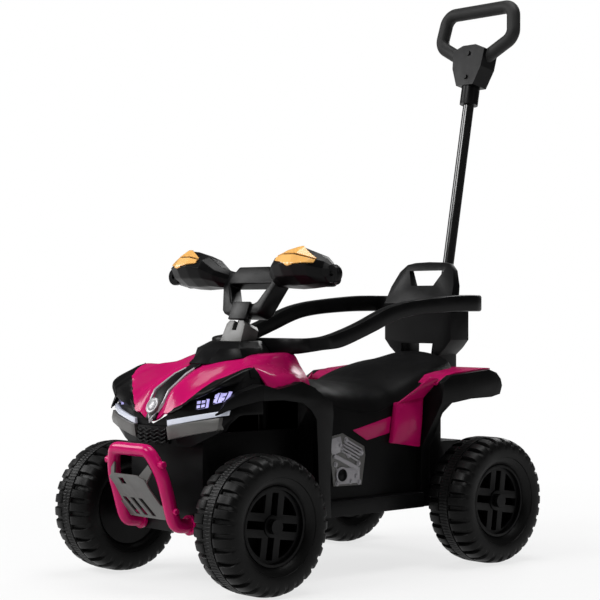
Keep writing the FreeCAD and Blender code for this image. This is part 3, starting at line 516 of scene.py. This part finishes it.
HOOD_STATIONS = [  # place along the object, then the half section as (x, z) from the middle outwards
    (-62, [(0, 135), (28, 145), (52, 156), (80, 168), (84, 167), (86, 160), (88, 140)]),
    (-42, [(0, 172), (28, 177), (62, 176), (100, 184), (114, 186), (117, 180), (119, 160)]),
    (-9, [(0, 195), (28, 198), (65, 192), (100, 199), (117, 201), (121, 195), (124, 170)]),
    (20, [(0, 208), (30, 210), (70, 203), (102, 208), (119, 209), (125, 201), (131, 172)]),
    (56, [(0, 218), (42, 221), (76, 217), (97, 209), (116, 202), (129, 194), (139, 172)]),
    (96, [(0, 223), (55, 226), (83, 225), (98, 211), (115, 201), (129, 193), (139, 172)]),
    (131, [(0, 223), (55, 226), (80, 225), (95, 208), (110, 191), (117, 176), (122, 161)]),
]
HOOD_GRID = (96, 60)
HOOD_SKIRT = 40  # how far the sections run on downwards, before the lower edge is cut
HOOD_SKIN = 3.0
HOOD_LOW = [(38, 60), (38, 180), (70, 185), (84, 189), (108, 180), (131, 163), (160, 140), (160, 60)]
BROW = [(0, 130), (30, 143), (45, 154), (80, 169), (115, 187), (121, 204), (122, 240)]
PAINT_EDGE = [(0, 130), (30, 143), (45, 153), (58, 162), (76, 178), (90, 190), (107, 201), (114, 213), (116, 240)]
LIP_LAP = 6.0
NOTCH = [(11, 10), (11, 245), (12, 245), (18, 214), (38, 180), (38, 10)]
BORE_PLAY = 0.8
BORE_SIDES = 48
BORE_REACH = 10.0


def edge_curve(edge):
    return [(p.x, p.y) for p in curve_through([(x, z, 0) for x, z in edge], 32)]


def above_paint():
    """The space over the painted hood's edge, and all behind and beside the headlight panel."""
    over = along_block(whole(edge_curve(PAINT_EDGE) + [(116, 320)]), -95, 25)
    behind = along_block([(-200, 60), (200, 60), (200, 320), (-200, 320)], 19, 179)
    beside = along_block([(-200, 60), (200, 60), (200, 196), (-200, 196)], 11, 41)
    return over, behind, beside


def below_edge(edge):
    """The space in front of and below a hood edge, where the headlight panel lies."""
    return along_block(whole(edge_curve(edge) + [(190, 240), (190, 20)]), -90, 12)


def horn_bore():
    """A round cutter around the horn button, so that the pressed button stays in sight."""
    low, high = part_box("horn_button")
    at = middle("horn_button")
    rim = circle((high.x - low.x) / 2 + BORE_PLAY * MM, BORE_SIDES)
    outline = [(at.x + a, at.y + b, low.z - BORE_REACH * MM) for a, b in rim]
    return prism_mesh("horn_bore", outline, (0, 0, high.z - low.z + 2 * BORE_REACH * MM))


def ridge(x, height, middle_x, width):
    return height * math.exp(-((abs(x) - middle_x) / width) ** 2)


def hood_relief(x, y):
    """Height added to the hood's skin: a crest beside the nose strip, a hollow and an outer crest."""
    fade = ease((78 - y) / 60)
    crest = ridge(x, 2.4, 26, 4.5) * min(1.0, max(0.0, (24 - y) / 16))
    return crest + (ridge(x, -8.0, 57, 17) + ridge(x, 2.2, 92, 5.5)) * fade


def hood():
    rows = []
    for y, half in HOOD_STATIONS:
        edge = half[-1]
        section = half + [(edge[0], edge[1] - HOOD_SKIRT)]
        rows.append([fp(x, y, z) for x, z in whole(section)])
    grid = lattice(rows, *HOOD_GRID)
    for row in grid:
        for point in row:
            point.z += hood_relief(point.x / MM, point.y / MM - FRONT_Y) * MM
    lip = add_piece("brow_lip", grid_mesh("brow_lip", grid), "black_body", "chassis")
    thicken(lip, HOOD_SKIN)
    for cut in (below_edge([(x, z - LIP_LAP) for x, z in BROW]), *above_paint()):
        carve(lip, cut)
    smooth(lip)
    skin = add_piece("hood_skin", grid_mesh("hood_skin", grid), "magenta_body", "chassis")
    thicken(skin, HOOD_SKIN)
    notches = (across_block(NOTCH, 116, 196), across_block(NOTCH, -196, -116))
    for cut in (below_edge(PAINT_EDGE), *notches, across_block(HOOD_LOW, -200, 200), horn_bore()):
        carve(skin, cut)
    edge_round(skin, 1.0)
    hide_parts("hood_cowl")


hood()

# Saddle

SADDLE_STATIONS = [  # place along the object, then the heights of top and edge, and the half width
    (fp, 131.5, 190, 163, 106), (fp, 181, 190, 151, 108), (fp, 209, 186, 143, 109), (rp, -188, 182, 137, 109),
    (rp, -154, 184, 146, 109), (rp, -133, 188, 151, 108), (rp, -93, 201, 171, 106), (rp, -48, 210, 190, 98),
    (rp, -20, 214, 194, 92), (rp, 9, 222, 196, 84)]
SADDLE_ARC = [(0, 1), (0.3, 0.95), (0.55, 0.82), (0.75, 0.64), (0.9, 0.40), (1, 0)]
SADDLE_GRID = (48, 70)
SADDLE_WALL = 4.0
UNDER_SADDLE = [(-86, 178), (-66, 189), (-44, 193), (20, 198), (34, 198), (34, 60), (-86, 60)]


def saddle():
    rows = []
    for place, y, top, edge, half in SADDLE_STATIONS:
        section = [(half * part, edge + (top - edge) * height) for part, height in SADDLE_ARC]
        rows.append([place(x, y, z) for x, z in whole(section)])
    grid = lattice(rows, *SADDLE_GRID)
    piece = add_piece("saddle_skin", grid_mesh("saddle_skin", grid), "saddle", "chassis")
    thicken(piece, SADDLE_WALL)
    carve(piece, across_block(UNDER_SADDLE, -140, 140, rp))
    edge_round(piece, 1.2)
    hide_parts("saddle")


saddle()

# Guard ring

RING_TOP = [(fp, 120, 247), (fp, 144, 248), (fp, 176, 253), (fp, 226, 268), (fp, 278, 288), (fp, 313, 297),
            (rp, -96, 303), (rp, -6, 310), (rp, 66, 310)]
RING_LOW = [(fp, 120, 222), (fp, 154, 230), (fp, 193, 234), (fp, 241, 249), (fp, 261, 256), (rp, -129, 276),
            (rp, -37, 284), (rp, 66, 285)]
RING_HALF = 118.0
RING_THICK = 17.0
RING_FRONT = 122
RING_BACK = 62
RING_FRONT_BEND = 33
RING_BACK_BEND = 27
RING_BEND_STEPS = 12
RING_STEP = 0.008
RING_SECTION = [(0.0, 0.12), (0.0, 0.88), (0.06, 0.96), (0.18, 1.0), (0.82, 1.0), (0.94, 0.96), (1.0, 0.88),
                (1.0, 0.12), (0.94, 0.04), (0.82, 0.0), (0.18, 0.0), (0.06, 0.04)]


def height_at(line, y):
    """The height of a smooth side line at a place along the object."""
    curve = curve_through([place(0, dy, dz) for place, dy, dz in line], 90)
    for a, b in zip(curve, curve[1:]):
        if a.y <= y <= b.y:
            return a.z + (b.z - a.z) * (y - a.y) / (b.y - a.y)
    return curve[0].z if y < curve[0].y else curve[-1].z


def ring_path():
    """The ring's middle line seen from above, with outward directions."""
    x = (RING_HALF - RING_THICK / 2) * MM
    y0 = fp(0, RING_FRONT + RING_THICK / 2, 0).y
    y1 = rp(0, RING_BACK - RING_THICK / 2, 0).y
    corners = [(x, y0, RING_FRONT_BEND, -90), (x, y1, RING_BACK_BEND, 0),
               (-x, y1, RING_BACK_BEND, 90), (-x, y0, RING_FRONT_BEND, 180)]
    path = []
    for cx, cy, bend, start in corners:
        radius = bend * MM
        centre = Vector((cx - math.copysign(radius, cx), cy - math.copysign(radius, cy - (y0 + y1) / 2)))
        for i in range(RING_BEND_STEPS + 1):
            a = math.radians(start + i * 90 / RING_BEND_STEPS)
            out = Vector((math.cos(a), math.sin(a)))
            path.append((centre + out * radius, out))
    filled = []
    for (p, a), (q, b) in zip(path, path[1:] + path[:1]):
        count = max(1, int((q - p).length / RING_STEP))
        for i in range(count):
            filled.append((p.lerp(q, i / count), a.lerp(b, i / count).normalized()))
    return filled


def guard_ring():
    rows = []
    for point, out in ring_path():
        top = height_at(RING_TOP, point.y)
        low = height_at(RING_LOW, point.y)
        row = []
        for u, v in RING_SECTION:
            side = point + out * (u - 0.5) * RING_THICK * MM
            row.append(Vector((side.x, side.y, low + (top - low) * v)))
        rows.append(row)
    rows.append(rows[0])
    piece = add_piece("guard_ring_rail", grid_mesh("guard_ring_rail", rows, True), "black_body", "chassis")
    smooth(piece)
    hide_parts("guard_ring")


guard_ring()

# Tyres

TREAD = [  # across from the middle, radius on a lug, radius between lugs
    (0, 95, 95), (4, 95, 95), (7.6, 95, 95), (8.2, 93.2, 93.2), (9.6, 93.2, 93.2), (10.2, 94.6, 90), (11, 95, 89.5),
    (15, 94.9, 89), (20, 94.4, 88.6), (26, 93.3, 88), (30.5, 91.6, 87), (33.5, 89.6, 85.6), (35.8, 86.8, 83.8),
    (37.2, 83.2, 81.6), (37.9, 79, 78.6), (38, 74, 74), (37.6, 69, 69), (37.0, 66.4, 66.4), (35.6, 65.8, 65.8),
    (34.6, 62, 62), (32, 58, 58), (28, 55.2, 55.2), (26, 54.3, 54.3)]
TYRE_STEPS = 960
LUGS = 30
LUG_STAGGER = 0.25  # shares of the way from one lug to the next, as are the two below
GAP_HALF = 0.13
LUG_SLOPE = 0.08
RIBS = 120
RIB_BAND = 7
RIB_DEPTH = 0.75
RIB_LEVEL = 0.25


def lug_share(turn, side):
    """How far a place round the wheel stands on a lug, from 0 in a gap to 1 on the lug."""
    place = (turn * LUGS - side * LUG_STAGGER) % 1.0
    off = min(place, 1.0 - place)
    return ease((off - GAP_HALF) / LUG_SLOPE)


def tyre_mesh():
    rows = []
    for side in (-1, 1):
        half = TREAD[::-1] if side < 0 else TREAD[1:]
        for across, top, low in half:
            row = []
            for i in range(TYRE_STEPS):
                turn = i / TYRE_STEPS
                radius = low + (top - low) * lug_share(turn, side)
                if across < RIB_BAND and math.sin(turn * RIBS * 2 * math.pi) > RIB_LEVEL:
                    radius -= RIB_DEPTH
                angle = turn * 2 * math.pi
                row.append(Vector((side * across, radius * math.sin(angle), radius * math.cos(angle))) * MM)
            rows.append(row)
    return grid_mesh("tread_tyre", rows, True)


def tyres():
    mesh = tyre_mesh()
    mesh.materials.append(MAT["tyre"])
    for end, centre in (("front", FRONT), ("rear", REAR)):
        for side, sign in (("left", 1), ("right", -1)):
            piece = bpy.data.objects.new("%s_%s_tread" % (end, side), mesh)
            bpy.context.scene.collection.objects.link(piece)
            turn = Matrix.Rotation(math.pi if sign < 0 else 0.0, 4, "Z")
            piece.matrix_world = Matrix.Translation((sign * centre.x, centre.y, centre.z)) @ turn
            smooth(piece)
            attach(piece, "wheel_%s_%s" % (end, side))
            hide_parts("%s_%s_tyre" % (end, side))


tyres()

# Nose: bezel round the badge, badge rings, wavy grille and lamp frames

BEZEL_LINE = [(9, 8, 0), (13.5, -20, 0), (15.5, -44, 0), (13, -54, 0), (0.01, -63.5, 0)]
BEZEL_SECTION = [(-1.8, -2), (1.8, -2), (1.8, 1.2), (1.0, 2.0), (-1.0, 2.0), (-1.8, 1.2)]
BEZEL_FORWARD = 1.2
BEZEL_PROUD = 1.4
BADGE_SHARE = 0.45  # how far the badge lies from the first hood station to the second
BADGE_PROUD = 9.0
BADGE_SIDES = 64
BADGE_PROFILE = [(11.6, -0.4), (11.6, 0.5), (10.9, 1.0), (10.0, 0.9), (9.6, 0.1), (7.2, -0.1), (6.8, 0.5), (6.0, 0.8),
                 (2.2, 1.1), (0.3, 1.2)]
WAVE_HEIGHTS = (106.5, 111.8, 117.1, 122.4)
WAVE_HALF = 31
WAVE_STEPS = 64
WAVE_LENGTH = 15.5
WAVE_RISE = 1.3
WAVE_RADIUS = 1.9
WAVE_PROUD = 1.4
GRILLE_MIDDLE = 112
LAMPS = [((84, 153), (98, 156), (98, 168), (84, 166)), ((106, 161), (119, 165), (119, 178), (106, 175))]
LAMP_INSET = 0.88
LAMP_BAR = 0.8
LAMP_BAR_PROUD = 0.3


def hood_height(x, y):
    """Height of the hood's skin near its middle."""
    for (y0, one), (y1, two) in zip(HOOD_STATIONS, HOOD_STATIONS[1:]):
        if y <= y1:
            share = (y - y0) / (y1 - y0)
            low = one[0][1] + (one[1][1] - one[0][1]) * abs(x) / one[1][0]
            high = two[0][1] + (two[1][1] - two[0][1]) * abs(x) / two[1][0]
            return low + (high - low) * share
    return HOOD_STATIONS[-1][1][0][1]


def nose_bezel():
    half = [fp(p.x, p.y - BEZEL_FORWARD, hood_height(p.x, p.y) + BEZEL_PROUD) for p in curve_through(BEZEL_LINE, 40)]
    mesh = sweep("nose_bezel", both_ways(half), BEZEL_SECTION)
    smooth(add_piece("nose_bezel", mesh, "silver_plate", "chassis"))


def badge_rings():
    """Raised rings on the nose badge."""
    (y0, one), (y1, two) = HOOD_STATIONS[:2]
    start = Vector((0, y0, one[0][1]))
    end = Vector((0, y1, two[0][1]))
    rise = (end - start).normalized()
    normal = Vector((0, -rise.z, rise.y))
    centre = fp(*start.lerp(end, BADGE_SHARE)) + normal * BADGE_PROUD * MM
    across = Vector((1, 0, 0))
    rows = []
    for radius, height in BADGE_PROFILE:
        rim = circle(radius, BADGE_SIDES)
        rows.append([centre + (across * a + rise * b + normal * height) * MM for a, b in rim])
    smooth(add_piece("badge_rings", grid_mesh("badge_rings", rows, True), "silver_plate", "chassis"))


def wavy_grille():
    tree = surface_of("nose_grille")
    bars = []
    for z in WAVE_HEIGHTS:
        path = []
        for i in range(WAVE_STEPS + 1):
            x = -WAVE_HALF + 2 * WAVE_HALF * i / WAVE_STEPS
            y = seen_from_front(tree, x, GRILLE_MIDDLE, WAVE_PROUD).y
            rise = WAVE_RISE * math.cos(x * 2 * math.pi / WAVE_LENGTH)
            path.append(Vector((x * MM, y, fp(0, 0, z + rise).z)))
        bars.append(sweep("wave", path, circle(WAVE_RADIUS, 10)))
    smooth(add_piece("grille_waves", joined("grille_waves", bars), "black_body", "chassis"))


def lamp_frames():
    """A dark frame with a cross on each lamp window."""
    tree = surface_of("headlight_lenses")
    bars = []
    for corners in LAMPS:
        points = [Vector(c) for c in corners]
        centre = sum(points, Vector((0, 0))) / 4
        inset = [centre.lerp(p, LAMP_INSET) for p in points]
        sides = [(inset[k], inset[(k + 1) % 4]) for k in range(4)]
        halves = [one.lerp(two, 0.5) for one, two in sides]
        for run in sides + [(halves[0], halves[2]), (halves[1], halves[3])]:
            path = [seen_from_front(tree, p.x, p.y, LAMP_BAR_PROUD) for p in run]
            bars.append(sweep("bar", path, circle(LAMP_BAR, 8)))
    half = joined("lamp_frames", bars)
    for name, turn in BOTH_SIDES:
        add_piece("lamp_frames_" + name, turn(half), "black_body", "chassis")


nose_bezel()
badge_rings()
wavy_grille()
lamp_frames()

# Bumper

BUMPER_LINE = [(55, -37, -7), (55, -52, -7), (55, -62, -4), (55, -68, 6), (55, -76, 32), (55, -83, 54),
               (52, -87.5, 69), (45, -92.5, 85), (38, -95.8, 94.5), (28, -96.5, 97), (0, -96.5, 97)]
BUMPER_RADIUS = 9.0
FOOT_GROWTH = 0.14  # how much thicker the rail is at its feet
PEGS = [(50, -90.5, 79, 5.0, 15), (55, -70.5, 15, 4.5, 13)]  # inner end as (x, y, z), radius, length
PEG_RIM = 1.5
FLANGE_RADIUS = 14


def peg_mesh(x, y, z, radius, length):
    """A round block that lies across the object, with its rim turned in at the outer end."""
    rows = []
    for share, out in ((0.02, 0), (1, 0), (1, length - PEG_RIM), (0.8, length), (0.02, length)):
        rows.append([fp(x + out, y + a, z + b) for a, b in circle(share * radius, 24)])
    return grid_mesh("peg", rows, True)


def rail_growth(share):
    """The rail's thickness at a share of its length, over that at its top."""
    return 1.0 + FOOT_GROWTH * abs(2 * share - 1) ** 2


def bumper():
    half = curve_through([fp(*p) for p in BUMPER_LINE], 60)
    blocks = [sweep("rail", both_ways(half), circle(BUMPER_RADIUS, 24), rail_growth)]
    for place in PEGS:
        peg = peg_mesh(*place)
        blocks += [other_side(peg), peg]
    x, _, z = BUMPER_LINE[0]
    for side in (-x, x):
        rim = [(side + a, z + b) for a, b in circle(FLANGE_RADIUS, 32)]
        blocks.append(along_block(rim, -41, -36.5))
    piece = add_piece("bumper_rail", joined("bumper_rail", blocks), "magenta_body", "chassis")
    edge_round(piece, 0.8)
    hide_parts("bumper_tube")


bumper()

# Engine plates

PLATE_X = 108.0
PLATE_EDGE = [(162, 104), (199, 110), (243, 89), (245, 76), (237.5, 33), (181, 34.5), (174, 80)]
FINS = 5
PORT = (196, 50)
BOLTS = [(172, 97), (193, 93), (210, 78), (230, 65), (224.5, 47), (184, 66), (231, 38), (187, 39), (205, 100),
         (236, 80), (214, 40)]


def plate_block(outline, inner, outer):
    """A block on the engine plate, between two depths outwards from the plate's back."""
    return across_block(outline, PLATE_X + inner, PLATE_X + outer)


def disc(place, radius, sides):
    return [(place[0] + a, place[1] + b) for a, b in circle(radius, sides)]


def slanted(y, z, length, width, angle):
    """A rectangle around a place, turned by an angle in degrees."""
    a = math.radians(angle)
    run = Vector((math.cos(a), math.sin(a)))
    rise = Vector((-run.y, run.x))
    corners = [run * i * length / 2 + rise * j * width / 2 for i, j in ((-1, -1), (1, -1), (1, 1), (-1, 1))]
    return [(y + c.x, z + c.y) for c in corners]


def engine():
    blocks = [plate_block(slanted(219.5 - i * 2.0, 93.5 - i * 4.2, 38, 2.2, -26), 2.5, 5.5) for i in range(FINS)]
    blocks.append(plate_block([(185, 60), (233, 60), (232, 37), (186, 37)], 2.5, 4))
    blocks.append(plate_block([(168, 101), (194, 106), (200, 84), (178, 80)], 2.5, 4))
    blocks.append(plate_block(slanted(205, 68, 54, 6, -24), 2.5, 5))
    blocks.append(plate_block(disc(PORT, 12, 40), 3, 5.5))
    for bolt in BOLTS:
        blocks.append(plate_block(disc(bolt, 4.2, 24), 3, 4.2))
        blocks.append(plate_block(disc(bolt, 2.6, 6), 3, 6))
    relief = joined("engine_relief", blocks)
    base = plate_block(PLATE_EDGE, 0, 3)
    port = plate_block(disc(PORT, 9, 40), 5, 5.8)
    for name, turn in BOTH_SIDES:
        piece = add_piece("engine_relief_" + name, turn(relief), "silver_plate", "chassis")
        edge_round(piece, 0.5)
        edge_round(add_piece("engine_base_" + name, turn(base), "grey_trim", "chassis"), 0.8)
        add_piece("engine_port_" + name, turn(port), "black_body", "chassis")
        if name == "left":
            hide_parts("engine_plates")


engine()

# Hand guards

GUARD_BACK = 218  # where the rows' zero lies behind and below the front axle
GUARD_DOWN = 95
GUARD_ROWS = [  # across from the middle, then the shell's edge from its back top round the front to its back foot
    (50, [(-80, 438), (-89, 438), (-95, 433), (-97, 427), (-95, 420), (-89, 415), (-80, 414)]),
    (64, [(-82, 441), (-102, 446), (-114, 441), (-119, 434), (-114, 425), (-102, 416), (-82, 414)]),
    (82, [(-84, 456), (-108, 461), (-124, 456), (-132, 445), (-125, 430), (-110, 418), (-88, 413)]),
    (104, [(-84, 463), (-110, 469), (-127, 461), (-137, 447), (-128, 430), (-112, 417), (-88, 412)]),
    (126, [(-84, 464), (-110, 471), (-127, 461), (-137, 447), (-128, 430), (-112, 418), (-88, 413)]),
    (148, [(-82, 457), (-104, 462), (-118, 455), (-129, 445), (-122, 430), (-106, 420), (-86, 415)]),
    (162, [(-86, 449), (-96, 453), (-104, 450), (-108, 441), (-105, 430), (-98, 421), (-88, 417)]),
    (171, [(-92, 445), (-97, 447), (-101, 445), (-103, 438), (-101, 429), (-98, 423), (-93, 420)]),
]
GUARD_ROUND = 48
GUARD_ALONG = 70
GUARD_WALL = 3.0
EAR_AT = (175, 433)
EAR_PROFILE = [(4, 115), (4, 125), (12, 125), (13, 123), (13, 117), (12, 115), (4, 115)]
PADS = {"upper": (0.325, 0.315, -0.17), "lower": (0.35, 0.42, 0.10)}  # straight edge, far edge's ends, its bulge
PAD_FIRST, PAD_LAST = 23, 54
PAD_STEPS = 12
PAD_PROUD = 1.9
PAD_WALL = 2.0


def guard_grid():
    rows = [[fp(x, GUARD_BACK + y, z - GUARD_DOWN) for y, z in edge] for x, edge in GUARD_ROWS]
    return lattice(rows, GUARD_ROUND, GUARD_ALONG, straight_through)


def guard_ear():
    """A rounded ear with a hole through it at the guard's outer end."""
    x, z = EAR_AT
    rows = [[fp(x + a, y, z - GUARD_DOWN + b) for a, b in circle(radius, 36)] for radius, y in EAR_PROFILE]
    return grid_mesh("ear", rows, True)


def pad_mesh(grid, straight, far, bulge):
    """A patch lying on the guard's front, between two edges given as shares of the way round it."""
    rows = []
    for j in range(PAD_FIRST, PAD_LAST + 1):
        share = (j - PAD_FIRST) / (PAD_LAST - PAD_FIRST)
        edge = far + bulge * (1 - abs(2 * share - 1))
        row = []
        for i in range(PAD_STEPS + 1):
            t = (straight + (edge - straight) * i / PAD_STEPS) * GUARD_ROUND
            k = min(int(t), GUARD_ROUND - 1)
            point = grid[j][k].lerp(grid[j][k + 1], t - k)
            out = (grid[j][k + 1] - grid[j][k]).cross(grid[j + 1][k] - grid[j - 1][k]).normalized()
            out = out if out.y < 0.3 else -out
            row.append(point + out * PAD_PROUD * MM)
        rows.append(row)
    return grid_mesh("pad", rows)


def hand_guards():
    grid = guard_grid()
    shell = grid_mesh("hand_guard_shell", grid)
    pads = {part: pad_mesh(grid, *edges) for part, edges in PADS.items()}
    ear = guard_ear()
    for name, turn in BOTH_SIDES:
        piece = add_piece("hand_guard_shell_" + name, turn(shell), "black_body", "steering")
        thicken(piece, GUARD_WALL)
        edge_round(piece, 1.0)
        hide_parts("hand_guard_" + name)
        smooth(add_piece("hand_guard_ear_" + name, turn(ear), "black_body", "steering"))
        for part, mesh in pads.items():
            pad = add_piece("guard_pad_%s_%s" % (part, name), turn(mesh), "amber", "steering")
            thicken(pad, PAD_WALL)
            edge_round(pad, 0.6)
            if name == "left" and part == "upper":
                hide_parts("guard_pads")


hand_guards()

# Handlebar yoke

STEERING_AT = fp(0, 107, 270)
STEERING_TILT = -22
YOKE_EDGE = [(-36, 8), (36, 8), (43, 14), (61, 60), (63, 75), (40, 75), (34, 83), (-34, 83), (-40, 75), (-63, 75),
             (-61, 60), (-43, 14)]
YOKE_WINDOW = [(-22, 25), (22, 25), (28, 28), (45, 56), (-45, 56), (-28, 28)]
YOKE_PLATE = [(-19, -1.5), (19, -1.5), (19, 26), (-19, 26)]


def yoke_block(outline, y0, y1):
    """A block in the steering's own frame: an outline of (x, z), from one y to another."""
    return prism_mesh("yoke_block", [Vector((x, y0, z)) * MM for x, z in outline], (0, (y1 - y0) * MM, 0))


def yoke():
    place = Matrix.Translation(STEERING_AT) @ Matrix.Rotation(math.radians(STEERING_TILT), 4, "X")
    piece = add_piece("yoke_frame", yoke_block(YOKE_EDGE, -12, 14), "black_body", "steering")
    carve(piece, yoke_block(YOKE_WINDOW, -40, 60))
    piece.data.transform(place)
    edge_round(piece, 3.0)
    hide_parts("handlebar_yoke")
    plate = yoke_block(YOKE_PLATE, -16, -11)
    plate.transform(place)
    edge_round(add_piece("yoke_plate", plate, "black_body", "steering"), 1.2)


yoke()

# Rear side panels

PANEL_X = 114.2
PANEL_SWELL = 6.5
PANEL_FULLNESS = 0.45
PANEL_CORNERS = [rp(0, -155, 92), rp(0, -97.5, 83), rp(0, -90, 156), rp(0, -146, 149)]
PANEL_TOP = [rp(129, -88, 186), rp(139, -80, 185)]
PANEL_STEPS = 24
PANEL_RISE_STEPS = 12
PANEL_WALL = 2.0


def panel_point(s, t):
    """A place on the pillow, with shares of the way from front to back and from foot to top."""
    front_low, back_low, back_high, front_high = PANEL_CORNERS
    flat = front_low.lerp(back_low, s).lerp(front_high.lerp(back_high, s), t)
    swell = (math.sin(math.pi * s) * math.sin(math.pi * min(1.0, 0.06 + 0.94 * t))) ** PANEL_FULLNESS
    return Vector(((PANEL_X + PANEL_SWELL * swell) * MM, flat.y, flat.z))


def rear_panels():
    """Pillow-shaped side panels, each narrowing above the pillow and rising to the deck."""
    shares = [i / PANEL_STEPS for i in range(PANEL_STEPS + 1)]
    rows = [[panel_point(s, t) for s in shares] for t in shares]
    front, back = rows[-1][0], rows[-1][-1]
    for j in range(1, PANEL_RISE_STEPS + 1):
        start = front.lerp(PANEL_TOP[0], j / PANEL_RISE_STEPS)
        end = back.lerp(PANEL_TOP[1], j / PANEL_RISE_STEPS)
        rows.append([start.lerp(end, s) for s in shares])
    half = grid_mesh("rear_panel", rows)
    for name, turn in BOTH_SIDES:
        panel = add_piece("rear_panel_" + name, turn(half), "magenta_body", "chassis")
        thicken(panel, PANEL_WALL)
        edge_round(panel, 0.8)


rear_panels()

# Stage, light and camera

CAMERA_AZIMUTH = 47.432
CAMERA_RISE = -0.195
CAMERA_AT = (1.8743, -1.76725, 0.3887)
LENS = 102.08
LIGHTS = [  # name, place, place it points at, width and height, power
    ("key", (-0.2, -2.5, 2.3), (0, 0, 0.3), (1.2, 1.2), 60),
    ("left", (-2.3, -1.5, 1.7), (0, 0, 0.35), (1.2, 1.2), 44),
    ("top", (0.2, 0.3, 2.6), (0, 0, 0.3), (1.3, 1.3), 40),
    ("side", (2.2, 0.6, 1.9), (0, 0, 0.3), (0.4, 0.4), 3),
    ("back", (-0.9, 2.6, 1.6), (0, 0, 0.3), (1.2, 1.2), 26),
]
WORLD_FILL = 0.09
FLOOR_SIDE = 14.0
FLOOR_GREY = 0.7
FLOOR_ROUGHNESS = 0.7
FADE_NEAR, FADE_FAR = 0.35, 1.3  # distances between which the floor turns to plain white
FADE_LEAST = 0.75


def camera():
    data = bpy.data.cameras.new("camera")
    data.lens = LENS
    data.sensor_width = 36.0
    data.sensor_fit = "HORIZONTAL"
    data.clip_end = 50.0
    made = bpy.data.objects.new("camera", data)
    bpy.context.scene.collection.objects.link(made)
    a = math.radians(CAMERA_AZIMUTH)
    e = math.radians(CAMERA_RISE)
    back = Vector((math.sin(a) * math.cos(e), -math.cos(a) * math.cos(e), math.sin(e)))
    made.rotation_mode = "QUATERNION"
    made.rotation_quaternion = (-back).to_track_quat("-Z", "Y")
    made.location = CAMERA_AT
    bpy.context.scene.camera = made


def area_light(name, place, target, size, power):
    data = bpy.data.lights.new(name, "AREA")
    data.shape = "RECTANGLE"
    data.size, data.size_y = size
    data.energy = power
    made = bpy.data.objects.new(name, data)
    made.location = place
    made.rotation_mode = "QUATERNION"
    made.rotation_quaternion = (Vector(target) - Vector(place)).to_track_quat("-Z", "Y")
    bpy.context.scene.collection.objects.link(made)


def seen_fac(tree):
    """One for rays from the camera, mirror-like rays and rays through glass."""
    path = tree.nodes.new("ShaderNodeLightPath")
    total = path.outputs["Is Camera Ray"]
    for name in ("Is Glossy Ray", "Is Transmission Ray"):
        most = tree.nodes.new("ShaderNodeMath")
        most.operation = "MAXIMUM"
        tree.links.new(total, most.inputs[0])
        tree.links.new(path.outputs[name], most.inputs[1])
        total = most.outputs["Value"]
    return total


def floor():
    """A pale floor that takes shadows near the object and fades to plain white away from it."""
    side = FLOOR_SIDE
    mesh = bpy.data.meshes.new("floor")
    mesh.from_pydata([(-side, -side, 0), (side, -side, 0), (side, side, 0), (-side, side, 0)], [], [(0, 1, 2, 3)])
    made = bpy.data.objects.new("floor", mesh)
    bpy.context.scene.collection.objects.link(made)
    material = bpy.data.materials.new("pale floor")
    material.use_nodes = True
    tree = material.node_tree
    bsdf = tree.nodes["Principled BSDF"]
    bsdf.inputs["Base Color"].default_value = (FLOOR_GREY, FLOOR_GREY, FLOOR_GREY, 1)
    bsdf.inputs["Roughness"].default_value = FLOOR_ROUGHNESS
    glow = tree.nodes.new("ShaderNodeEmission")
    glow.inputs["Strength"].default_value = 1.0
    mix = tree.nodes.new("ShaderNodeMixShader")
    coords = tree.nodes.new("ShaderNodeTexCoord")
    length = tree.nodes.new("ShaderNodeVectorMath")
    length.operation = "LENGTH"
    fade = tree.nodes.new("ShaderNodeMapRange")
    fade.inputs["From Min"].default_value = FADE_NEAR
    fade.inputs["From Max"].default_value = FADE_FAR
    fade.inputs["To Min"].default_value = FADE_LEAST
    fade.inputs["To Max"].default_value = 1.0
    times = tree.nodes.new("ShaderNodeMath")
    times.operation = "MULTIPLY"
    links = tree.links
    links.new(coords.outputs["Object"], length.inputs[0])
    links.new(length.outputs["Value"], fade.inputs["Value"])
    links.new(fade.outputs["Result"], times.inputs[0])
    links.new(seen_fac(tree), times.inputs[1])
    links.new(times.outputs["Value"], mix.inputs["Fac"])
    links.new(bsdf.outputs["BSDF"], mix.inputs[1])
    links.new(glow.outputs["Emission"], mix.inputs[2])
    links.new(mix.outputs["Shader"], tree.nodes["Material Output"].inputs["Surface"])
    mesh.materials.append(material)


def world():
    """White for the camera, and a weak even fill for the object."""
    made = bpy.data.worlds.new("studio")
    made.use_nodes = True
    bpy.context.scene.world = made
    tree = made.node_tree
    seen = tree.nodes["Background"]
    seen.inputs["Color"].default_value = (1, 1, 1, 1)
    seen.inputs["Strength"].default_value = 1.0
    fill = tree.nodes.new("ShaderNodeBackground")
    fill.inputs["Color"].default_value = (1, 1, 1, 1)
    fill.inputs["Strength"].default_value = WORLD_FILL
    path = tree.nodes.new("ShaderNodeLightPath")
    mix = tree.nodes.new("ShaderNodeMixShader")
    tree.links.new(path.outputs["Is Camera Ray"], mix.inputs["Fac"])
    tree.links.new(fill.outputs["Background"], mix.inputs[1])
    tree.links.new(seen.outputs["Background"], mix.inputs[2])
    tree.links.new(mix.outputs["Shader"], tree.nodes["World Output"].inputs["Surface"])


camera()
world()
for light in LIGHTS:
    area_light(*light)
floor()
bpy.context.scene.view_settings.view_transform = "Standard"
